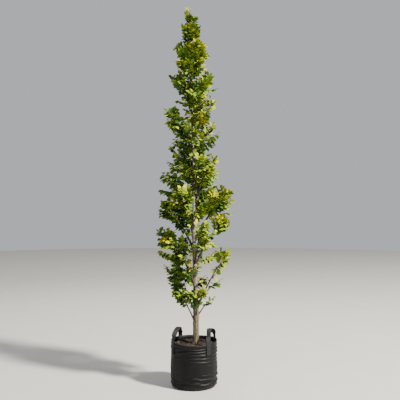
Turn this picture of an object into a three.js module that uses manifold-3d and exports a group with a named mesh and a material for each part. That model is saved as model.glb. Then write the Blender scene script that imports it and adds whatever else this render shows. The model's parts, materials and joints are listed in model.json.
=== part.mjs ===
// Young columnar beech in a soft planting bag with two carrying handles.
//
// One trunk runs from the compost to the leader. Side shoots, here called feathers, leave it steeply
// all round and arch out at their tips. The lower feathers are bare boughs at first, and each ends in
// a mass of leafy twigs. Leaves are fewer than the real plant's and a little larger than life.
//
// Millimetres, +Z up. The origin is the centre of the bag's flat underside. +X is the right-hand side
// and -Y the front of the plant as it is usually seen.

import * as THREE from 'three';
import { mergeVertices } from 'three/addons/utils/BufferGeometryUtils.js';
import Module from 'manifold-3d';

const wasm = await Module();
wasm.setup();
const { Manifold } = wasm;

// Driving dimensions

const totalHeight = 3000;
const seatGap = 0.3; // clearance between pieces that touch

const bag = {
  height: 360,
  rimRadius: 180,
  bellyRadius: 186,
  bellyHeight: 150,
  footRadius: 178,
  footRound: 20,
  wall: 4,
  floor: 5,
  sides: 28,
};

const compost = { belowRim: 36, mound: 9, edgeDrop: 4.5, dishRadius: 70 };

const strap = {
  width: 38,
  thickness: 4,
  tail: 96, // sewn length below the rim
  straight: 14, // how far the legs stand up before they turn
  rise: 92, // top of the loop above the rim
  lean: 56, // how far the top of the loop leans in over the rim
  facets: 3, // of the bag's sides, from the loop's middle to each leg
  facetsTurned: 1, // of the bag's sides, by which the right loop stands forwards and the left one back
  twistedBy: 0.45, // share of the way up the loop by which the strap faces away from the hand
  steps: 10, // from each leg's top to the top of the loop
};

const trunk = {
  topHeight: 2770,
  footRadius: 25,
  topRadius: 2.4,
  taper: 1.7,
  flareRadius: 3.5,
  flareHeight: 26,
  offset: 14, // sideways place of the foot on the compost
  lean: 44, // how far the top leans to the left of the foot
  leanPower: 1.3,
  sway: 3.5,
  swayTurns: { x: 4.4, y: 3.2 }, // half waves of the sway from foot to top
  sides: 10,
  rings: 20,
  bunching: 1.25, // above 1, the rings are closer at the flare
};

const limbShape = {
  outShare: 0.36, // where a feather's bend lies, as a share of its reach
  upShare: 0.56, // and as a share of its rise
  collar: 0.35, // swelling where it leaves the trunk
  collarLength: 0.07,
  lastLeaf: 0.86, // a feather's line stops this share of a leaf short of its tip
  rootRadius: 2.6,
  radiusPerReach: 0.0125,
  tipRadius: 2.2,
  boughSides: 5,
  boughRings: 4,
  stemSides: 4,
  stemRings: 3,
  lineSteps: 9, // of the line, to measure the distance to it
  boughSteps: 20, // the same for its bare bough
  exitSteps: 200, // the same to find where it leaves the trunk
  exitSpan: 2.6, // how far its cut reaches up and down, as a share of its root radius
  gapReach: 5, // the gap to the trunk is measured this far
};

const leader = { lean: 4, lastLeaf: 0.76 };

const twigRule = {
  pitch: 66, // distance between side twigs along a stem
  firstClear: 34, // bare stem before the first twig of a feather that has no bough
  firstShare: 0.3, // or this share of it, where that is less
  pastBough: 0.04, // the first twig of the others is this share of the feather past its bough
  firstStep: 0.3, // where a twig lies in its own step along the stem
  angle: THREE.MathUtils.degToRad(48),
  spiral: THREE.MathUtils.degToRad(137.5),
  lift: 0.3, // how much a twig turns up
  lengthShare: 0.42, // of the stem's length
  lengthSpread: 0.15,
  twist: 0.5, // how far its spray turns from level, in radians
  longest: 118,
  shortest: 46,
  tipShare: 0.45, // a twig by the tip, as a share of one at the foot
  rootRadius: 2.5,
  rootShare: 0.56, // of the stem's own radius, where that is less
  forward: 0.15, // how far off the stem's axis it starts, as a share of the stem's radius
  tipRadius: 1.7,
  rootVolume: 36, // what its root shares with the stem, in cubic millimetres
  tries: 9,
  tryTurn: 0.75, // each try is turned this much further round the stem
  tryShrink: 0.06,
  tryLift: 0.1,
};

const leafRule = {
  length: 100,
  width: 62,
  thickness: 3.2,
  widest: 0.46, // share of the length
  arch: 0.08, // droop of the tip, as a share of the length
  angle: THREE.MathUtils.degToRad(52),
  droop: 0.34,
  tilt: 0.3, // how far its face may turn towards or away from the twig's end
  sunk: 0.9, // depth of a leaf's root past the twig's axis
  endSunk: 1.8, // the same for the leaf at the end of a twig
  pitch: 30,
  stemPitch: 32,
  firstStep: 0.2, // where a stem's leaf lies in its own step along the stem
  bareTwig: 0.25, // share of a twig before its first leaf
  tipPair: 14, // the two leaves by a stem's tip are this far from its end
  sizeSpread: 0.14,
  leanSpread: 0.12,
  lastNode: 0.92, // share of a twig where its side leaves end
  tries: 5,
  tryTurn: 0.2, // each try is turned this share of its angle back to the twig
  tryShrink: 0.07,
  tryLift: 0.16,
};

const spaceGap = 4; // a leaf is this much nearer its own stem than any other
const limbGap = 2.5; // clearance from leaf to limb
const crossing = 8; // a leaf that shares more cubic millimetres than this crosses another

// Feathers in outline, from the bottom up. Each row gives the height where the feather leaves the
// trunk, the height of its leaf tips, their reach from the trunk, and the share that is a bare bough.
const rightFeathers = [
  [520, 700, 165, 0.42],
  [575, 1092, 300, 0.5],
  [620, 842, 232, 0.55],
  [930, 1345, 272, 0.36],
  [1130, 1560, 325, 0.36],
  [1420, 1826, 196, 0.2],
  [1700, 2092, 184, 0],
  [1930, 2262, 218, 0],
  [2204, 2460, 188, 0],
  [2440, 2700, 122, 0],
  [2620, 2846, 78, 0],
];
const leftFeathers = [
  [470, 790, 190, 0.4],
  [560, 952, 262, 0.3],
  [800, 1236, 296, 0.28],
  [1060, 1460, 282, 0.26],
  [1300, 1690, 262, 0.24],
  [1560, 1900, 196, 0],
  [1850, 2180, 226, 0],
  [2145, 2470, 176, 0],
  [2420, 2690, 118, 0],
  [2640, 2850, 56, 0],
];

// Height and reach of the crown's outline, which no leaf passes.
const outline = [
  [560, 150],
  [1090, 312],
  [1560, 335],
  [1850, 238],
  [2280, 236],
  [2460, 196],
  [2740, 126],
  [2850, 90],
  [3000, 50],
];

// The front and back follow the mean outline of those two sides.
const depthFeathers = {
  count: 8,
  pitch: 252,
  frontStart: 800,
  backStart: 910,
  widest: 285,
  widestHeight: 1300,
  taperAbove: 0.122, // reach lost for each millimetre above the widest height
  taperBelow: 0.18,
  steepness: 0.9,
  leastRise: 110,
  boughBelow: 1160, // feathers that leave the trunk lower than this start as a bare bough
  bare: 0.28,
};

const turns = { least: 10, spread: 16, golden: 0.618 }; // each feather's turn off its side, in degrees

const colours = {
  bag: 0x2b2b2d,
  strap: 0x34363a,
  compost: 0x4a382b,
  bark: 0x8d8874,
  deepLeaf: 0x31521a,
  freshLeaf: 0x6f8f22,
};

// Solids and meshes

const up = new THREE.Vector3(0, 0, 1);
const flat = 1e-3; // corners this near to each other or to a flat face are merged with it
const slight = 0.02; // edges shorter than this are closed up

function solidOf(geometry) {
  const bare = geometry.clone();
  bare.deleteAttribute('normal');
  bare.deleteAttribute('uv');
  const merged = mergeVertices(bare, flat);
  return new Manifold(
    new wasm.Mesh({
      numProp: 3,
      vertProperties: merged.attributes.position.array,
      triVerts: new Uint32Array(merged.index.array),
    }),
  );
}

function geometryOf(solid) {
  const { vertProperties, triVerts } = solid.getMesh();
  const geometry = new THREE.BufferGeometry();
  geometry.setAttribute('position', new THREE.BufferAttribute(vertProperties, 3));
  geometry.setIndex(new THREE.BufferAttribute(triVerts, 1));
  geometry.computeVertexNormals();
  return geometry;
}

function named(name, geometry, colour, roughness = 0.85) {
  const material = new THREE.MeshStandardMaterial({ color: colour, roughness, metalness: 0 });
  const mesh = new THREE.Mesh(geometry, material);
  mesh.name = name;
  return mesh;
}

// The largest body of a join, so that a scrap cut off from the rest is left out.
function largestBody(solid) {
  const bodies = solid.decompose();
  return bodies.reduce((largest, body) => (body.volume() > largest.volume() ? body : largest));
}

// The same draws for the same seed, between 0 and 1.
function seeded(seed) {
  let state = seed >>> 0;
  const draw = () => {
    state = (Math.imul(state, 1664525) + 1013904223) >>> 0;
    return state / 2 ** 32;
  };
  draw();
  return draw;
}

const between = (draw, low, high) => low + (high - low) * draw();

// A limb with its thickness given along a curve: a cylinder whose rings are carried onto the curve.
function limb(curve, radiusAt, sides, rings, from = 0, to = 1) {
  const geometry = new THREE.CylinderGeometry(1, 1, 1, sides, rings);
  const position = geometry.attributes.position;
  const point = new THREE.Vector3();
  for (let i = 0; i < position.count; i++) {
    point.fromBufferAttribute(position, i);
    const t = from + (to - from) * (point.y + 0.5);
    const tangent = curve.getTangent(t);
    const side = new THREE.Vector3(1, 0, 0).cross(tangent).normalize();
    const front = new THREE.Vector3().crossVectors(side, tangent);
    const radius = radiusAt(t);
    const moved = curve
      .getPoint(t)
      .addScaledVector(side, radius * point.x)
      .addScaledVector(front, radius * point.z);
    position.setXYZ(i, moved.x, moved.y, moved.z);
  }
  return solidOf(geometry);
}

// Bag, compost and handles

// Outside radius of the bag at a height: a rounded foot, a slight belly, and walls that draw in to the rim.
function bagRadius(z) {
  if (z < bag.footRound) {
    const down = 1 - z / bag.footRound;
    return bag.footRadius - bag.footRound * (1 - Math.sqrt(1 - down * down));
  }
  if (z < bag.bellyHeight) {
    const share = (z - bag.footRound) / (bag.bellyHeight - bag.footRound);
    return THREE.MathUtils.lerp(bag.footRadius, bag.bellyRadius, Math.sin((share * Math.PI) / 2));
  }
  const share = (z - bag.bellyHeight) / (bag.height - bag.bellyHeight);
  return THREE.MathUtils.lerp(bag.bellyRadius, bag.rimRadius, share * share * (3 - 2 * share));
}

const wallHeights = [0, 0.3 * bag.footRound, bag.footRound, 80, bag.bellyHeight, bag.height - strap.tail];
const compostTop = bag.height - compost.belowRim;
const trunkFoot = compostTop + seatGap;

const facet = (Math.PI * 2) / bag.sides;

// A flat of the bag, not a corner, faces each leg of the loops.
function turned(profile) {
  return new THREE.LatheGeometry(profile, bag.sides).rotateX(Math.PI / 2).rotateZ(facet / 2);
}

function bagMesh() {
  const outside = [...wallHeights, bag.height].map((z) => new THREE.Vector2(bagRadius(z), z));
  const inside = [bag.height, ...wallHeights.filter((z) => z >= bag.footRound).reverse()].map(
    (z) => new THREE.Vector2(bagRadius(z) - bag.wall, z),
  );
  const floorEdge = new THREE.Vector2(bag.footRadius - bag.footRound, bag.floor);
  const middles = [new THREE.Vector2(0, 0), new THREE.Vector2(0, bag.floor)];
  const profile = [middles[0], ...outside, ...inside, floorEdge, middles[1]];
  return named('bag', geometryOf(solidOf(turned(profile))), colours.bag);
}

// The compost fills the bag to just below its rim. It is flat under the trunk and rises to a low ring.
function compostMesh() {
  const clear = bag.wall + seatGap;
  const edge = wallHeights
    .filter((z) => z >= bag.footRound)
    .map((z) => new THREE.Vector2(bagRadius(z) - clear, z));
  const topRadius = bagRadius(compostTop) - clear;
  const ringRadius = (compost.dishRadius + topRadius) / 2;
  const profile = [
    new THREE.Vector2(0, bag.floor + seatGap),
    new THREE.Vector2(bag.footRadius - bag.footRound - clear, bag.floor + seatGap),
    ...edge,
    new THREE.Vector2(topRadius, compostTop - compost.edgeDrop),
    new THREE.Vector2(ringRadius, compostTop + compost.mound),
    new THREE.Vector2(compost.dishRadius, compostTop),
    new THREE.Vector2(0, compostTop),
  ];
  return named('compost', geometryOf(solidOf(turned(profile))), colours.compost, 1);
}

// A webbing loop sewn flat to the outside of the bag. Its legs stand up past the rim, and the strap
// twists through a quarter above it, so that it arches over the hand with its face away from it.
function strapMesh(name, middle) {
  const halfAngle = strap.facets * facet;
  const wallOffset = seatGap + strap.thickness / 2;
  const legTop = bag.height + strap.straight;
  const outwardAt = (angle) => new THREE.Vector3(Math.cos(angle), Math.sin(angle), 0);
  const archRow = (leg, share) => {
    const turn = (share * Math.PI) / 2;
    const angle = middle + leg * halfAngle * Math.cos(turn);
    const outward = outwardAt(angle);
    const away = outwardAt(angle + Math.PI / 2).multiplyScalar(leg * Math.cos(turn));
    const reach = bag.rimRadius * Math.cos(facet / 2) + wallOffset - strap.lean * Math.sin(turn) ** 1.5;
    const z = legTop + (strap.rise - strap.straight) * Math.sin(turn);
    const twist = THREE.MathUtils.smoothstep(share, 0, strap.twistedBy);
    const facing = outward.clone().lerp(away.addScaledVector(up, Math.sin(turn)), twist);
    return { point: outward.multiplyScalar(reach).setZ(z), facing };
  };
  const rowsOf = (leg) => {
    const facing = outwardAt(middle + leg * halfAngle);
    const tail = [bag.height - strap.tail, bag.height, legTop].map((z) => {
      const reach = bagRadius(Math.min(z, bag.height)) * Math.cos(facet / 2) + wallOffset;
      return { point: facing.clone().multiplyScalar(reach).setZ(z), facing };
    });
    const arch = [...Array(strap.steps).keys()].map((i) => archRow(leg, (i + 1) / strap.steps));
    return [...tail, ...arch];
  };
  const farHalf = rowsOf(1).slice(0, -1).reverse();
  const rows = [...rowsOf(-1), ...farHalf];
  return named(name, geometryOf(ribbon(rows, strap.width, strap.thickness)), colours.strap);
}

// A flat band swept through a row of points, with the way that its outer face looks at each of them.
function ribbon(rows, width, thickness) {
  const bands = rows.length - 1;
  const box = new THREE.BoxGeometry(1, 1, bands, 1, 1, bands);
  const position = box.attributes.position;
  for (let i = 0; i < position.count; i++) {
    const at = Math.round(position.getZ(i) + bands / 2);
    const before = rows[Math.max(0, at - 1)].point;
    const after = rows[Math.min(bands, at + 1)].point;
    const tangent = new THREE.Vector3().subVectors(after, before).normalize();
    const across = new THREE.Vector3().crossVectors(rows[at].facing, tangent).normalize();
    const outward = new THREE.Vector3().crossVectors(tangent, across);
    const moved = rows[at].point
      .clone()
      .addScaledVector(across, width * position.getX(i))
      .addScaledVector(outward, thickness * position.getY(i));
    position.setXYZ(i, moved.x, moved.y, moved.z);
  }
  return solidOf(box);
}

// Trunk

const trunkShare = (z) => THREE.MathUtils.clamp((z - trunkFoot) / (trunk.topHeight - trunkFoot), 0, 1);

// The trunk's centre line at a height: it leans a little to the left as it rises, with a slight sway.
function trunkAt(z) {
  const share = trunkShare(z);
  const swayed = (halfWaves) => trunk.sway * Math.sin(share * Math.PI * halfWaves);
  const leant = trunk.offset - trunk.lean * share ** trunk.leanPower;
  return new THREE.Vector3(leant + swayed(trunk.swayTurns.x), swayed(trunk.swayTurns.y), z);
}

function trunkRadius(z) {
  const taper = (1 - trunkShare(z)) ** trunk.taper;
  const flare = trunk.flareRadius * Math.exp(-(z - trunkFoot) / trunk.flareHeight);
  return trunk.topRadius + (trunk.footRadius - trunk.topRadius) * taper + flare;
}

class TrunkLine extends THREE.Curve {
  heightAt(t) {
    return THREE.MathUtils.lerp(trunkFoot, trunk.topHeight, t ** trunk.bunching);
  }
  getPoint(t) {
    return trunkAt(this.heightAt(t));
  }
  getTangent(t) {
    const z = this.heightAt(t);
    const level = t === 0 || t === 1; // flat cuts at the foot and under the leader
    return level ? up.clone() : trunkAt(z + 1).sub(trunkAt(z - 1)).normalize();
  }
}

const trunkLine = new TrunkLine();
const radiusOnLine = (t) => trunkRadius(trunkLine.heightAt(t));
const trunkSolid = limb(trunkLine, radiusOnLine, trunk.sides, trunk.rings).simplify(flat);

// Feathers

function turnOf(index) {
  const share = (index * turns.golden) % 1;
  const sign = index % 2 ? -1 : 1;
  return THREE.MathUtils.degToRad(sign * (turns.least + turns.spread * share));
}

// One feather: its line from the trunk's centre to the last leaf's root, and its thickness on the way.
function feather(side, index, azimuth, rootHeight, tipHeight, spread, bare) {
  const turn = turnOf(index);
  const reach = spread / Math.cos(turn);
  const outward = new THREE.Vector3(Math.cos(azimuth + turn), Math.sin(azimuth + turn), 0);
  const root = trunkAt(rootHeight);
  const leafTip = trunkAt(tipHeight).addScaledVector(outward, reach);
  const bend = root
    .clone()
    .addScaledVector(outward, reach * limbShape.outShare)
    .addScaledVector(up, (tipHeight - rootHeight) * limbShape.upShare);
  const lastLeaf = new THREE.Vector3().subVectors(leafTip, bend).setLength(leafRule.length * limbShape.lastLeaf);
  const line = new THREE.QuadraticBezierCurve3(root, bend, leafTip.sub(lastLeaf));
  const rootRadius = limbShape.rootRadius + limbShape.radiusPerReach * reach;
  const radiusAt = (t) =>
    THREE.MathUtils.lerp(rootRadius, limbShape.tipRadius, t) *
    (1 + limbShape.collar * Math.exp(-t / limbShape.collarLength));
  const number = String(index + 1).padStart(2, '0');
  return { name: `${side}_${number}`, line, radiusAt, bare, outward };
}

// The leader goes straight on from the trunk's top.
function leaderFeather() {
  const root = trunkAt(trunk.topHeight).addScaledVector(up, seatGap);
  const top = root.clone().setZ(totalHeight - leafRule.length * leader.lastLeaf);
  top.x -= leader.lean;
  const bend = root.clone().lerp(top, 0.5);
  const line = new THREE.QuadraticBezierCurve3(root, bend, top);
  const radiusAt = () => limbShape.tipRadius;
  return { name: 'leader', line, radiusAt, bare: 0, outward: new THREE.Vector3(-1, 0, 0) };
}

function depthFeather(side, index, azimuth, start) {
  const tipHeight = start + depthFeathers.pitch * index;
  const offWidest = tipHeight - depthFeathers.widestHeight;
  const taper = offWidest > 0 ? depthFeathers.taperAbove : -depthFeathers.taperBelow;
  const reach = depthFeathers.widest - taper * offWidest;
  const rootHeight = tipHeight - depthFeathers.leastRise - depthFeathers.steepness * reach;
  const bare = rootHeight < depthFeathers.boughBelow ? depthFeathers.bare : 0;
  return feather(side, index, azimuth, rootHeight, tipHeight, reach, bare);
}

const depthIndexes = [...Array(depthFeathers.count).keys()];
const feathers = [
  ...rightFeathers.map((row, i) => feather('right', i, 0, ...row)),
  ...leftFeathers.map((row, i) => feather('left', i, Math.PI, ...row)),
  ...depthIndexes.map((i) => depthFeather('front', i, -Math.PI / 2, depthFeathers.frontStart)),
  ...depthIndexes.map((i) => depthFeather('back', i, Math.PI / 2, depthFeathers.backStart)),
  leaderFeather(),
];
feathers.forEach((each) => {
  each.samples = each.line.getPoints(limbShape.lineSteps);
  const boughEnd = Math.ceil(each.bare * limbShape.boughSteps);
  each.boughSamples = each.line.getPoints(limbShape.boughSteps).slice(0, boughEnd + 1);
});

// Cuts a limb that starts at the trunk's centre flat where it leaves the trunk, just clear of it.
function cutAtTrunk(solid, own) {
  const { outward, line } = own;
  const trunkFace = (z) => outward.dot(trunkAt(z)) + trunkRadius(z);
  const exit = line.getPoints(limbShape.exitSteps).find((point) => outward.dot(point) > trunkFace(point.z));
  const span = own.radiusAt(0) * limbShape.exitSpan;
  const clearOf = Math.max(...[-1, 0, 1].map((share) => trunkFace(exit.z + span * share))) + seatGap;
  const roughly = solid.trimByPlane(outward.toArray(), clearOf);
  const spare = roughly.minGap(trunkSolid, limbShape.gapReach) - seatGap;
  return solid.trimByPlane(outward.toArray(), clearOf - spare);
}

// The space of each mass: the points that are nearer its own feather's line than any other's.

const nearest = new THREE.Vector3();
const piece = new THREE.Line3();

function distanceToLine(point, samples) {
  let least = Infinity;
  for (let i = 1; i < samples.length; i++) {
    piece.set(samples[i - 1], samples[i]).closestPointToPoint(point, true, nearest);
    least = Math.min(least, nearest.distanceTo(point));
  }
  return least;
}

function outlineAt(z) {
  const above = Math.max(1, outline.findIndex(([height]) => height > z));
  const [[lowHeight, lowReach], [highHeight, highReach]] = outline.slice(above - 1, above + 1);
  return THREE.MathUtils.mapLinear(z, lowHeight, highHeight, lowReach, highReach);
}

function inOwnSpace(points, own) {
  return points.every((point) => {
    if (point.z > totalHeight) return false;
    const axis = trunkAt(Math.min(point.z, trunk.topHeight));
    const fromTrunk = Math.hypot(point.x - axis.x, point.y - axis.y);
    if (fromTrunk > outlineAt(point.z)) return false;
    if (point.z < trunk.topHeight + limbGap && fromTrunk < trunkRadius(point.z) + limbGap) return false;
    const ownDistance = distanceToLine(point, own.samples);
    return feathers.every(
      (other) => other === own || distanceToLine(point, other.samples) > ownDistance + spaceGap,
    );
  });
}

function clearOfOwnBough(points, own) {
  if (!own.bare) return true;
  const thickest = own.radiusAt(0);
  return points.every((point) => distanceToLine(point, own.boughSamples) > thickest + limbGap);
}

// Twigs and leaves

// A twig of three sides that is drawn out into a leaf at its end.
function leafyTwig({ from, end, facing, leaf, stemRadius }) {
  const along = new THREE.Vector3().subVectors(end, from).normalize();
  const side = new THREE.Vector3().crossVectors(facing, along).normalize();
  const front = new THREE.Vector3().crossVectors(side, along);
  const ring = (centre, radius) =>
    [0, 1, 2].map((corner) => {
      const turn = (corner * Math.PI * 2) / 3;
      const moved = centre.clone().addScaledVector(side, radius * Math.sin(turn));
      return moved.addScaledVector(front, radius * Math.cos(turn));
    });
  const rootRadius = Math.min(twigRule.rootRadius, stemRadius * twigRule.rootShare);
  const start = from.clone().addScaledVector(along, stemRadius * twigRule.forward);
  const middle = leaf.root.clone().lerp(leaf.tip, leafRule.widest);
  const rows = [
    ring(start, rootRadius),
    ring(end, Math.min(twigRule.tipRadius, rootRadius)),
    [middle, leaf.left, leaf.right],
    [leaf.tip],
  ];
  const bands = rows.length - 1;
  const geometry = new THREE.ConeGeometry(1, 1, 3, bands);
  const position = geometry.attributes.position;
  for (let i = 0; i < position.count; i++) {
    const [x, y, z] = [position.getX(i), position.getY(i), position.getZ(i)];
    const row = Math.round((y + 0.5) * bands);
    const corner = (Math.round((Math.atan2(x, z) * 3) / (Math.PI * 2)) + 3) % 3;
    const inCap = row === 0 && Math.hypot(x, z) < 0.5;
    const moved = inCap ? start : rows[row][row === bands ? 0 : corner];
    position.setXYZ(i, moved.x, moved.y, moved.z);
  }
  return solidOf(geometry);
}

// The four corners of a leaf that is folded a little along its middle.
function leafCorners(root, direction, facing, size) {
  const along = direction.clone().normalize();
  const side = new THREE.Vector3().crossVectors(facing, along).normalize();
  const face = new THREE.Vector3().crossVectors(along, side);
  const length = leafRule.length * size;
  const tip = root
    .clone()
    .addScaledVector(along, length)
    .addScaledVector(face, -length * leafRule.arch);
  const middle = root.clone().lerp(tip, leafRule.widest).addScaledVector(face, leafRule.thickness);
  const halfWidth = (leafRule.width * size) / 2;
  return {
    root,
    tip,
    left: middle.clone().addScaledVector(side, halfWidth),
    right: middle.clone().addScaledVector(side, -halfWidth),
  };
}

// A tetrahedron drawn out to the leaf's corners.
function leafSolid({ root, tip, left, right }) {
  const geometry = new THREE.TetrahedronGeometry(1);
  const position = geometry.attributes.position;
  for (let i = 0; i < position.count; i++) {
    const first = position.getX(i) > 0;
    const onMiddle = position.getZ(i) > 0;
    const corner = onMiddle ? (first ? tip : root) : (first ? left : right);
    position.setXYZ(i, corner.x, corner.y, corner.z);
  }
  return solidOf(geometry);
}

function leafOutline({ root, tip, left, right }) {
  const half = (a, b) => a.clone().lerp(b, 0.5);
  return [tip, left, right, half(tip, left), half(tip, right), half(root, left), half(root, right)];
}

function leafDirection(along, across, angle, lift) {
  return along
    .clone()
    .multiplyScalar(Math.cos(angle))
    .addScaledVector(across, Math.sin(angle))
    .addScaledVector(up, lift - leafRule.droop)
    .normalize();
}

// The way that a spray's leaves face: square to its own plane, and outward or up.
function sprayFacing(own, along, across) {
  const facing = new THREE.Vector3().crossVectors(along, across).normalize();
  return facing.dot(own.outward) + facing.z < 0 ? facing.negate() : facing;
}

// A leaf that leaves a twig at a node, or null where each try at it leaves the space or crosses others.
function leafAt(own, draw, mass, { node, along, across, swing }) {
  const size = 1 + leafRule.sizeSpread * between(draw, -1, 1);
  const lean = between(draw, -leafRule.leanSpread, leafRule.leanSpread);
  const facing = sprayFacing(own, along, across);
  facing.addScaledVector(along, between(draw, -1, 1) * leafRule.tilt);
  for (let attempt = 0; attempt < leafRule.tries; attempt++) {
    const angle = swing * (leafRule.angle * (1 - leafRule.tryTurn * attempt) + lean);
    const direction = leafDirection(along, across, angle, leafRule.tryLift * attempt);
    const root = node.clone().addScaledVector(direction, -(swing ? leafRule.sunk : leafRule.endSunk));
    const corners = leafCorners(root, direction, facing, size * (1 - leafRule.tryShrink * attempt));
    const edge = leafOutline(corners);
    if (!inOwnSpace(edge, own) || !clearOfOwnBough(edge, own)) continue;
    const leaf = leafSolid(corners);
    if (mass.intersect(leaf).volume() < crossing) return leaf;
  }
  return null;
}

function acrossOf(direction, roll) {
  const level = new THREE.Vector3().crossVectors(direction, up).normalize();
  return level.applyAxisAngle(direction, roll);
}

// A side twig with the leaf at its end, tried round the stem, or null.
function twigAt(own, draw, mass, t, roll, fullLength) {
  const from = own.line.getPoint(t);
  const tangent = own.line.getTangent(t);
  const stemRadius = own.radiusAt(t);
  const length = fullLength * (1 + twigRule.lengthSpread * between(draw, -1, 1));
  const size = 1 + leafRule.sizeSpread * between(draw, -1, 1);
  const twist = between(draw, -twigRule.twist, twigRule.twist);
  for (let attempt = 0; attempt < twigRule.tries; attempt++) {
    const outOf = acrossOf(tangent, roll + attempt * twigRule.tryTurn);
    const along = tangent
      .clone()
      .multiplyScalar(Math.cos(twigRule.angle))
      .addScaledVector(outOf, Math.sin(twigRule.angle))
      .addScaledVector(up, twigRule.lift)
      .normalize();
    const end = from.clone().addScaledVector(along, length * (1 - twigRule.tryShrink * attempt));
    const across = acrossOf(along, twist);
    const facing = sprayFacing(own, along, across);
    const direction = leafDirection(along, across, 0, twigRule.tryLift * attempt);
    const leaf = leafCorners(end, direction, facing, size * (1 - twigRule.tryShrink * attempt));
    const half = from.clone().lerp(end, 0.5);
    const edge = [half, end, ...leafOutline(leaf)];
    if (!inOwnSpace(edge, own) || !clearOfOwnBough(edge, own)) continue;
    const found = { from, end, along, across, facing, leaf, stemRadius };
    found.solid = leafyTwig(found);
    if (mass.intersect(found.solid).volume() < crossing + twigRule.rootVolume) return found;
  }
  return null;
}

// Where the side leaves of one twig grow, to each side in turn.
function twigLeaves({ from, end, along, across }, firstSwing) {
  const count = Math.max(1, Math.round(from.distanceTo(end) / leafRule.pitch));
  const { bareTwig, lastNode } = leafRule;
  return [...Array(count).keys()].map((i) => ({
    node: from.clone().lerp(end, bareTwig + ((lastNode - bareTwig) * (i + 0.5)) / count),
    along,
    across,
    swing: i % 2 ? -firstSwing : firstSwing,
  }));
}

// Where leaves grow on the stem itself: some between its side twigs, and three at its tip.
function stemLeaves(own, firstTwig, firstRoll) {
  const leafy = own.line.getLength() * (1 - firstTwig);
  const count = Math.max(2, Math.round(leafy / leafRule.stemPitch));
  const sides = [...Array(count).keys()].map((i) => {
    const t = firstTwig + ((1 - firstTwig) * (i + leafRule.firstStep)) / count;
    const along = own.line.getTangent(t);
    const across = acrossOf(along, firstRoll + Math.PI / 2 + twigRule.spiral * i);
    return { node: own.line.getPoint(t), along, across, swing: 1 };
  });
  const along = own.line.getTangent(1);
  const across = acrossOf(along, leafRule.firstStep);
  const nearTip = own.line.getPoint(1 - leafRule.tipPair / own.line.getLength());
  return [
    ...sides,
    { node: nearTip, along, across, swing: 1 },
    { node: nearTip, along, across, swing: -1 },
    { node: own.line.getPoint(1), along, across, swing: 0 },
  ];
}

// One mass of foliage: a stem that goes on from its bough or the trunk, side twigs in a spiral that are
// shorter towards its tip, and leaves on both, fused into one solid.
function foliage(own, seed) {
  const draw = seeded(seed);
  const length = own.line.getLength();
  const start = own.bare ? own.bare + seatGap / length : 0;
  const stem = limb(own.line, own.radiusAt, limbShape.stemSides, limbShape.stemRings, start);
  const meetsTrunk = !own.bare && own.name !== 'leader';
  const firstOnTrunk = Math.min(twigRule.firstShare, twigRule.firstClear / length);
  const firstTwig = own.bare ? own.bare + twigRule.pastBough : firstOnTrunk;
  const leafy = length * (1 - firstTwig);
  const count = Math.max(1, Math.round(leafy / twigRule.pitch));
  const { lengthShare, shortest, longest } = twigRule;
  const fullLength = THREE.MathUtils.clamp(leafy * lengthShare, shortest, longest);
  const firstRoll = draw() * Math.PI * 2;
  let mass = meetsTrunk ? cutAtTrunk(stem, own) : stem;
  const places = stemLeaves(own, firstTwig, firstRoll);
  for (let i = 0; i < count; i++) {
    const share = (i + twigRule.firstStep) / count;
    const t = firstTwig + (1 - firstTwig) * share;
    const twigLength = fullLength * THREE.MathUtils.lerp(1, twigRule.tipShare, share);
    const twig = twigAt(own, draw, mass, t, firstRoll + twigRule.spiral * i, twigLength);
    if (!twig) continue;
    mass = mass.add(twig.solid);
    places.push(...twigLeaves(twig, i % 2 ? 1 : -1));
  }
  places.forEach((place) => {
    const leaf = leafAt(own, draw, mass, place);
    if (leaf) mass = mass.add(leaf);
  });
  return largestBody(mass).simplify(slight);
}

function bough(own) {
  const { boughSides, boughRings } = limbShape;
  return cutAtTrunk(limb(own.line, own.radiusAt, boughSides, boughRings, 0, own.bare), own);
}

// Assembly

const plant = new THREE.Group();
plant.add(bagMesh(), compostMesh());
const loopTurn = strap.facetsTurned * facet;
plant.add(strapMesh('handle_right', -loopTurn), strapMesh('handle_left', Math.PI - loopTurn));
plant.add(named('trunk', geometryOf(trunkSolid), colours.bark, 0.7));

feathers.forEach((each, index) => {
  if (each.bare) plant.add(named(`bough_${each.name}`, geometryOf(bough(each)), colours.bark, 0.7));
  const leafColour = index % 3 === 2 ? colours.freshLeaf : colours.deepLeaf;
  plant.add(named(`foliage_${each.name}`, geometryOf(foliage(each, 7919 * (index + 1))), leafColour, 0.6));
});

export default plant;
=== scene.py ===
import json
import math
import random

import bmesh
import bpy
import numpy as np
from mathutils import Matrix, Vector, noise


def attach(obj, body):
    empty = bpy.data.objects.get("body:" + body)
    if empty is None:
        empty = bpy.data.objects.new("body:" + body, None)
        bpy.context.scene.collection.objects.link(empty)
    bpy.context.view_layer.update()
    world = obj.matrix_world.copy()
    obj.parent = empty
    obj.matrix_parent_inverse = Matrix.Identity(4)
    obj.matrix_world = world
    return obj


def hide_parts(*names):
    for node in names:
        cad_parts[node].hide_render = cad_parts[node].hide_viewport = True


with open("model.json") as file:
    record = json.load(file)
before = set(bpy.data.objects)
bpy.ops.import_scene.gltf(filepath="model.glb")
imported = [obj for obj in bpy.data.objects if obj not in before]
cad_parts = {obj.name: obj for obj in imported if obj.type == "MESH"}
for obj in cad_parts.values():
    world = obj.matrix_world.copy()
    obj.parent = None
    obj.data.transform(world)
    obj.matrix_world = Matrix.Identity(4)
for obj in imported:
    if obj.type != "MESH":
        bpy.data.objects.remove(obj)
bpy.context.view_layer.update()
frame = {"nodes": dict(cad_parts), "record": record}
print("frame loaded:", len(frame["nodes"]), "nodes")

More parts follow.
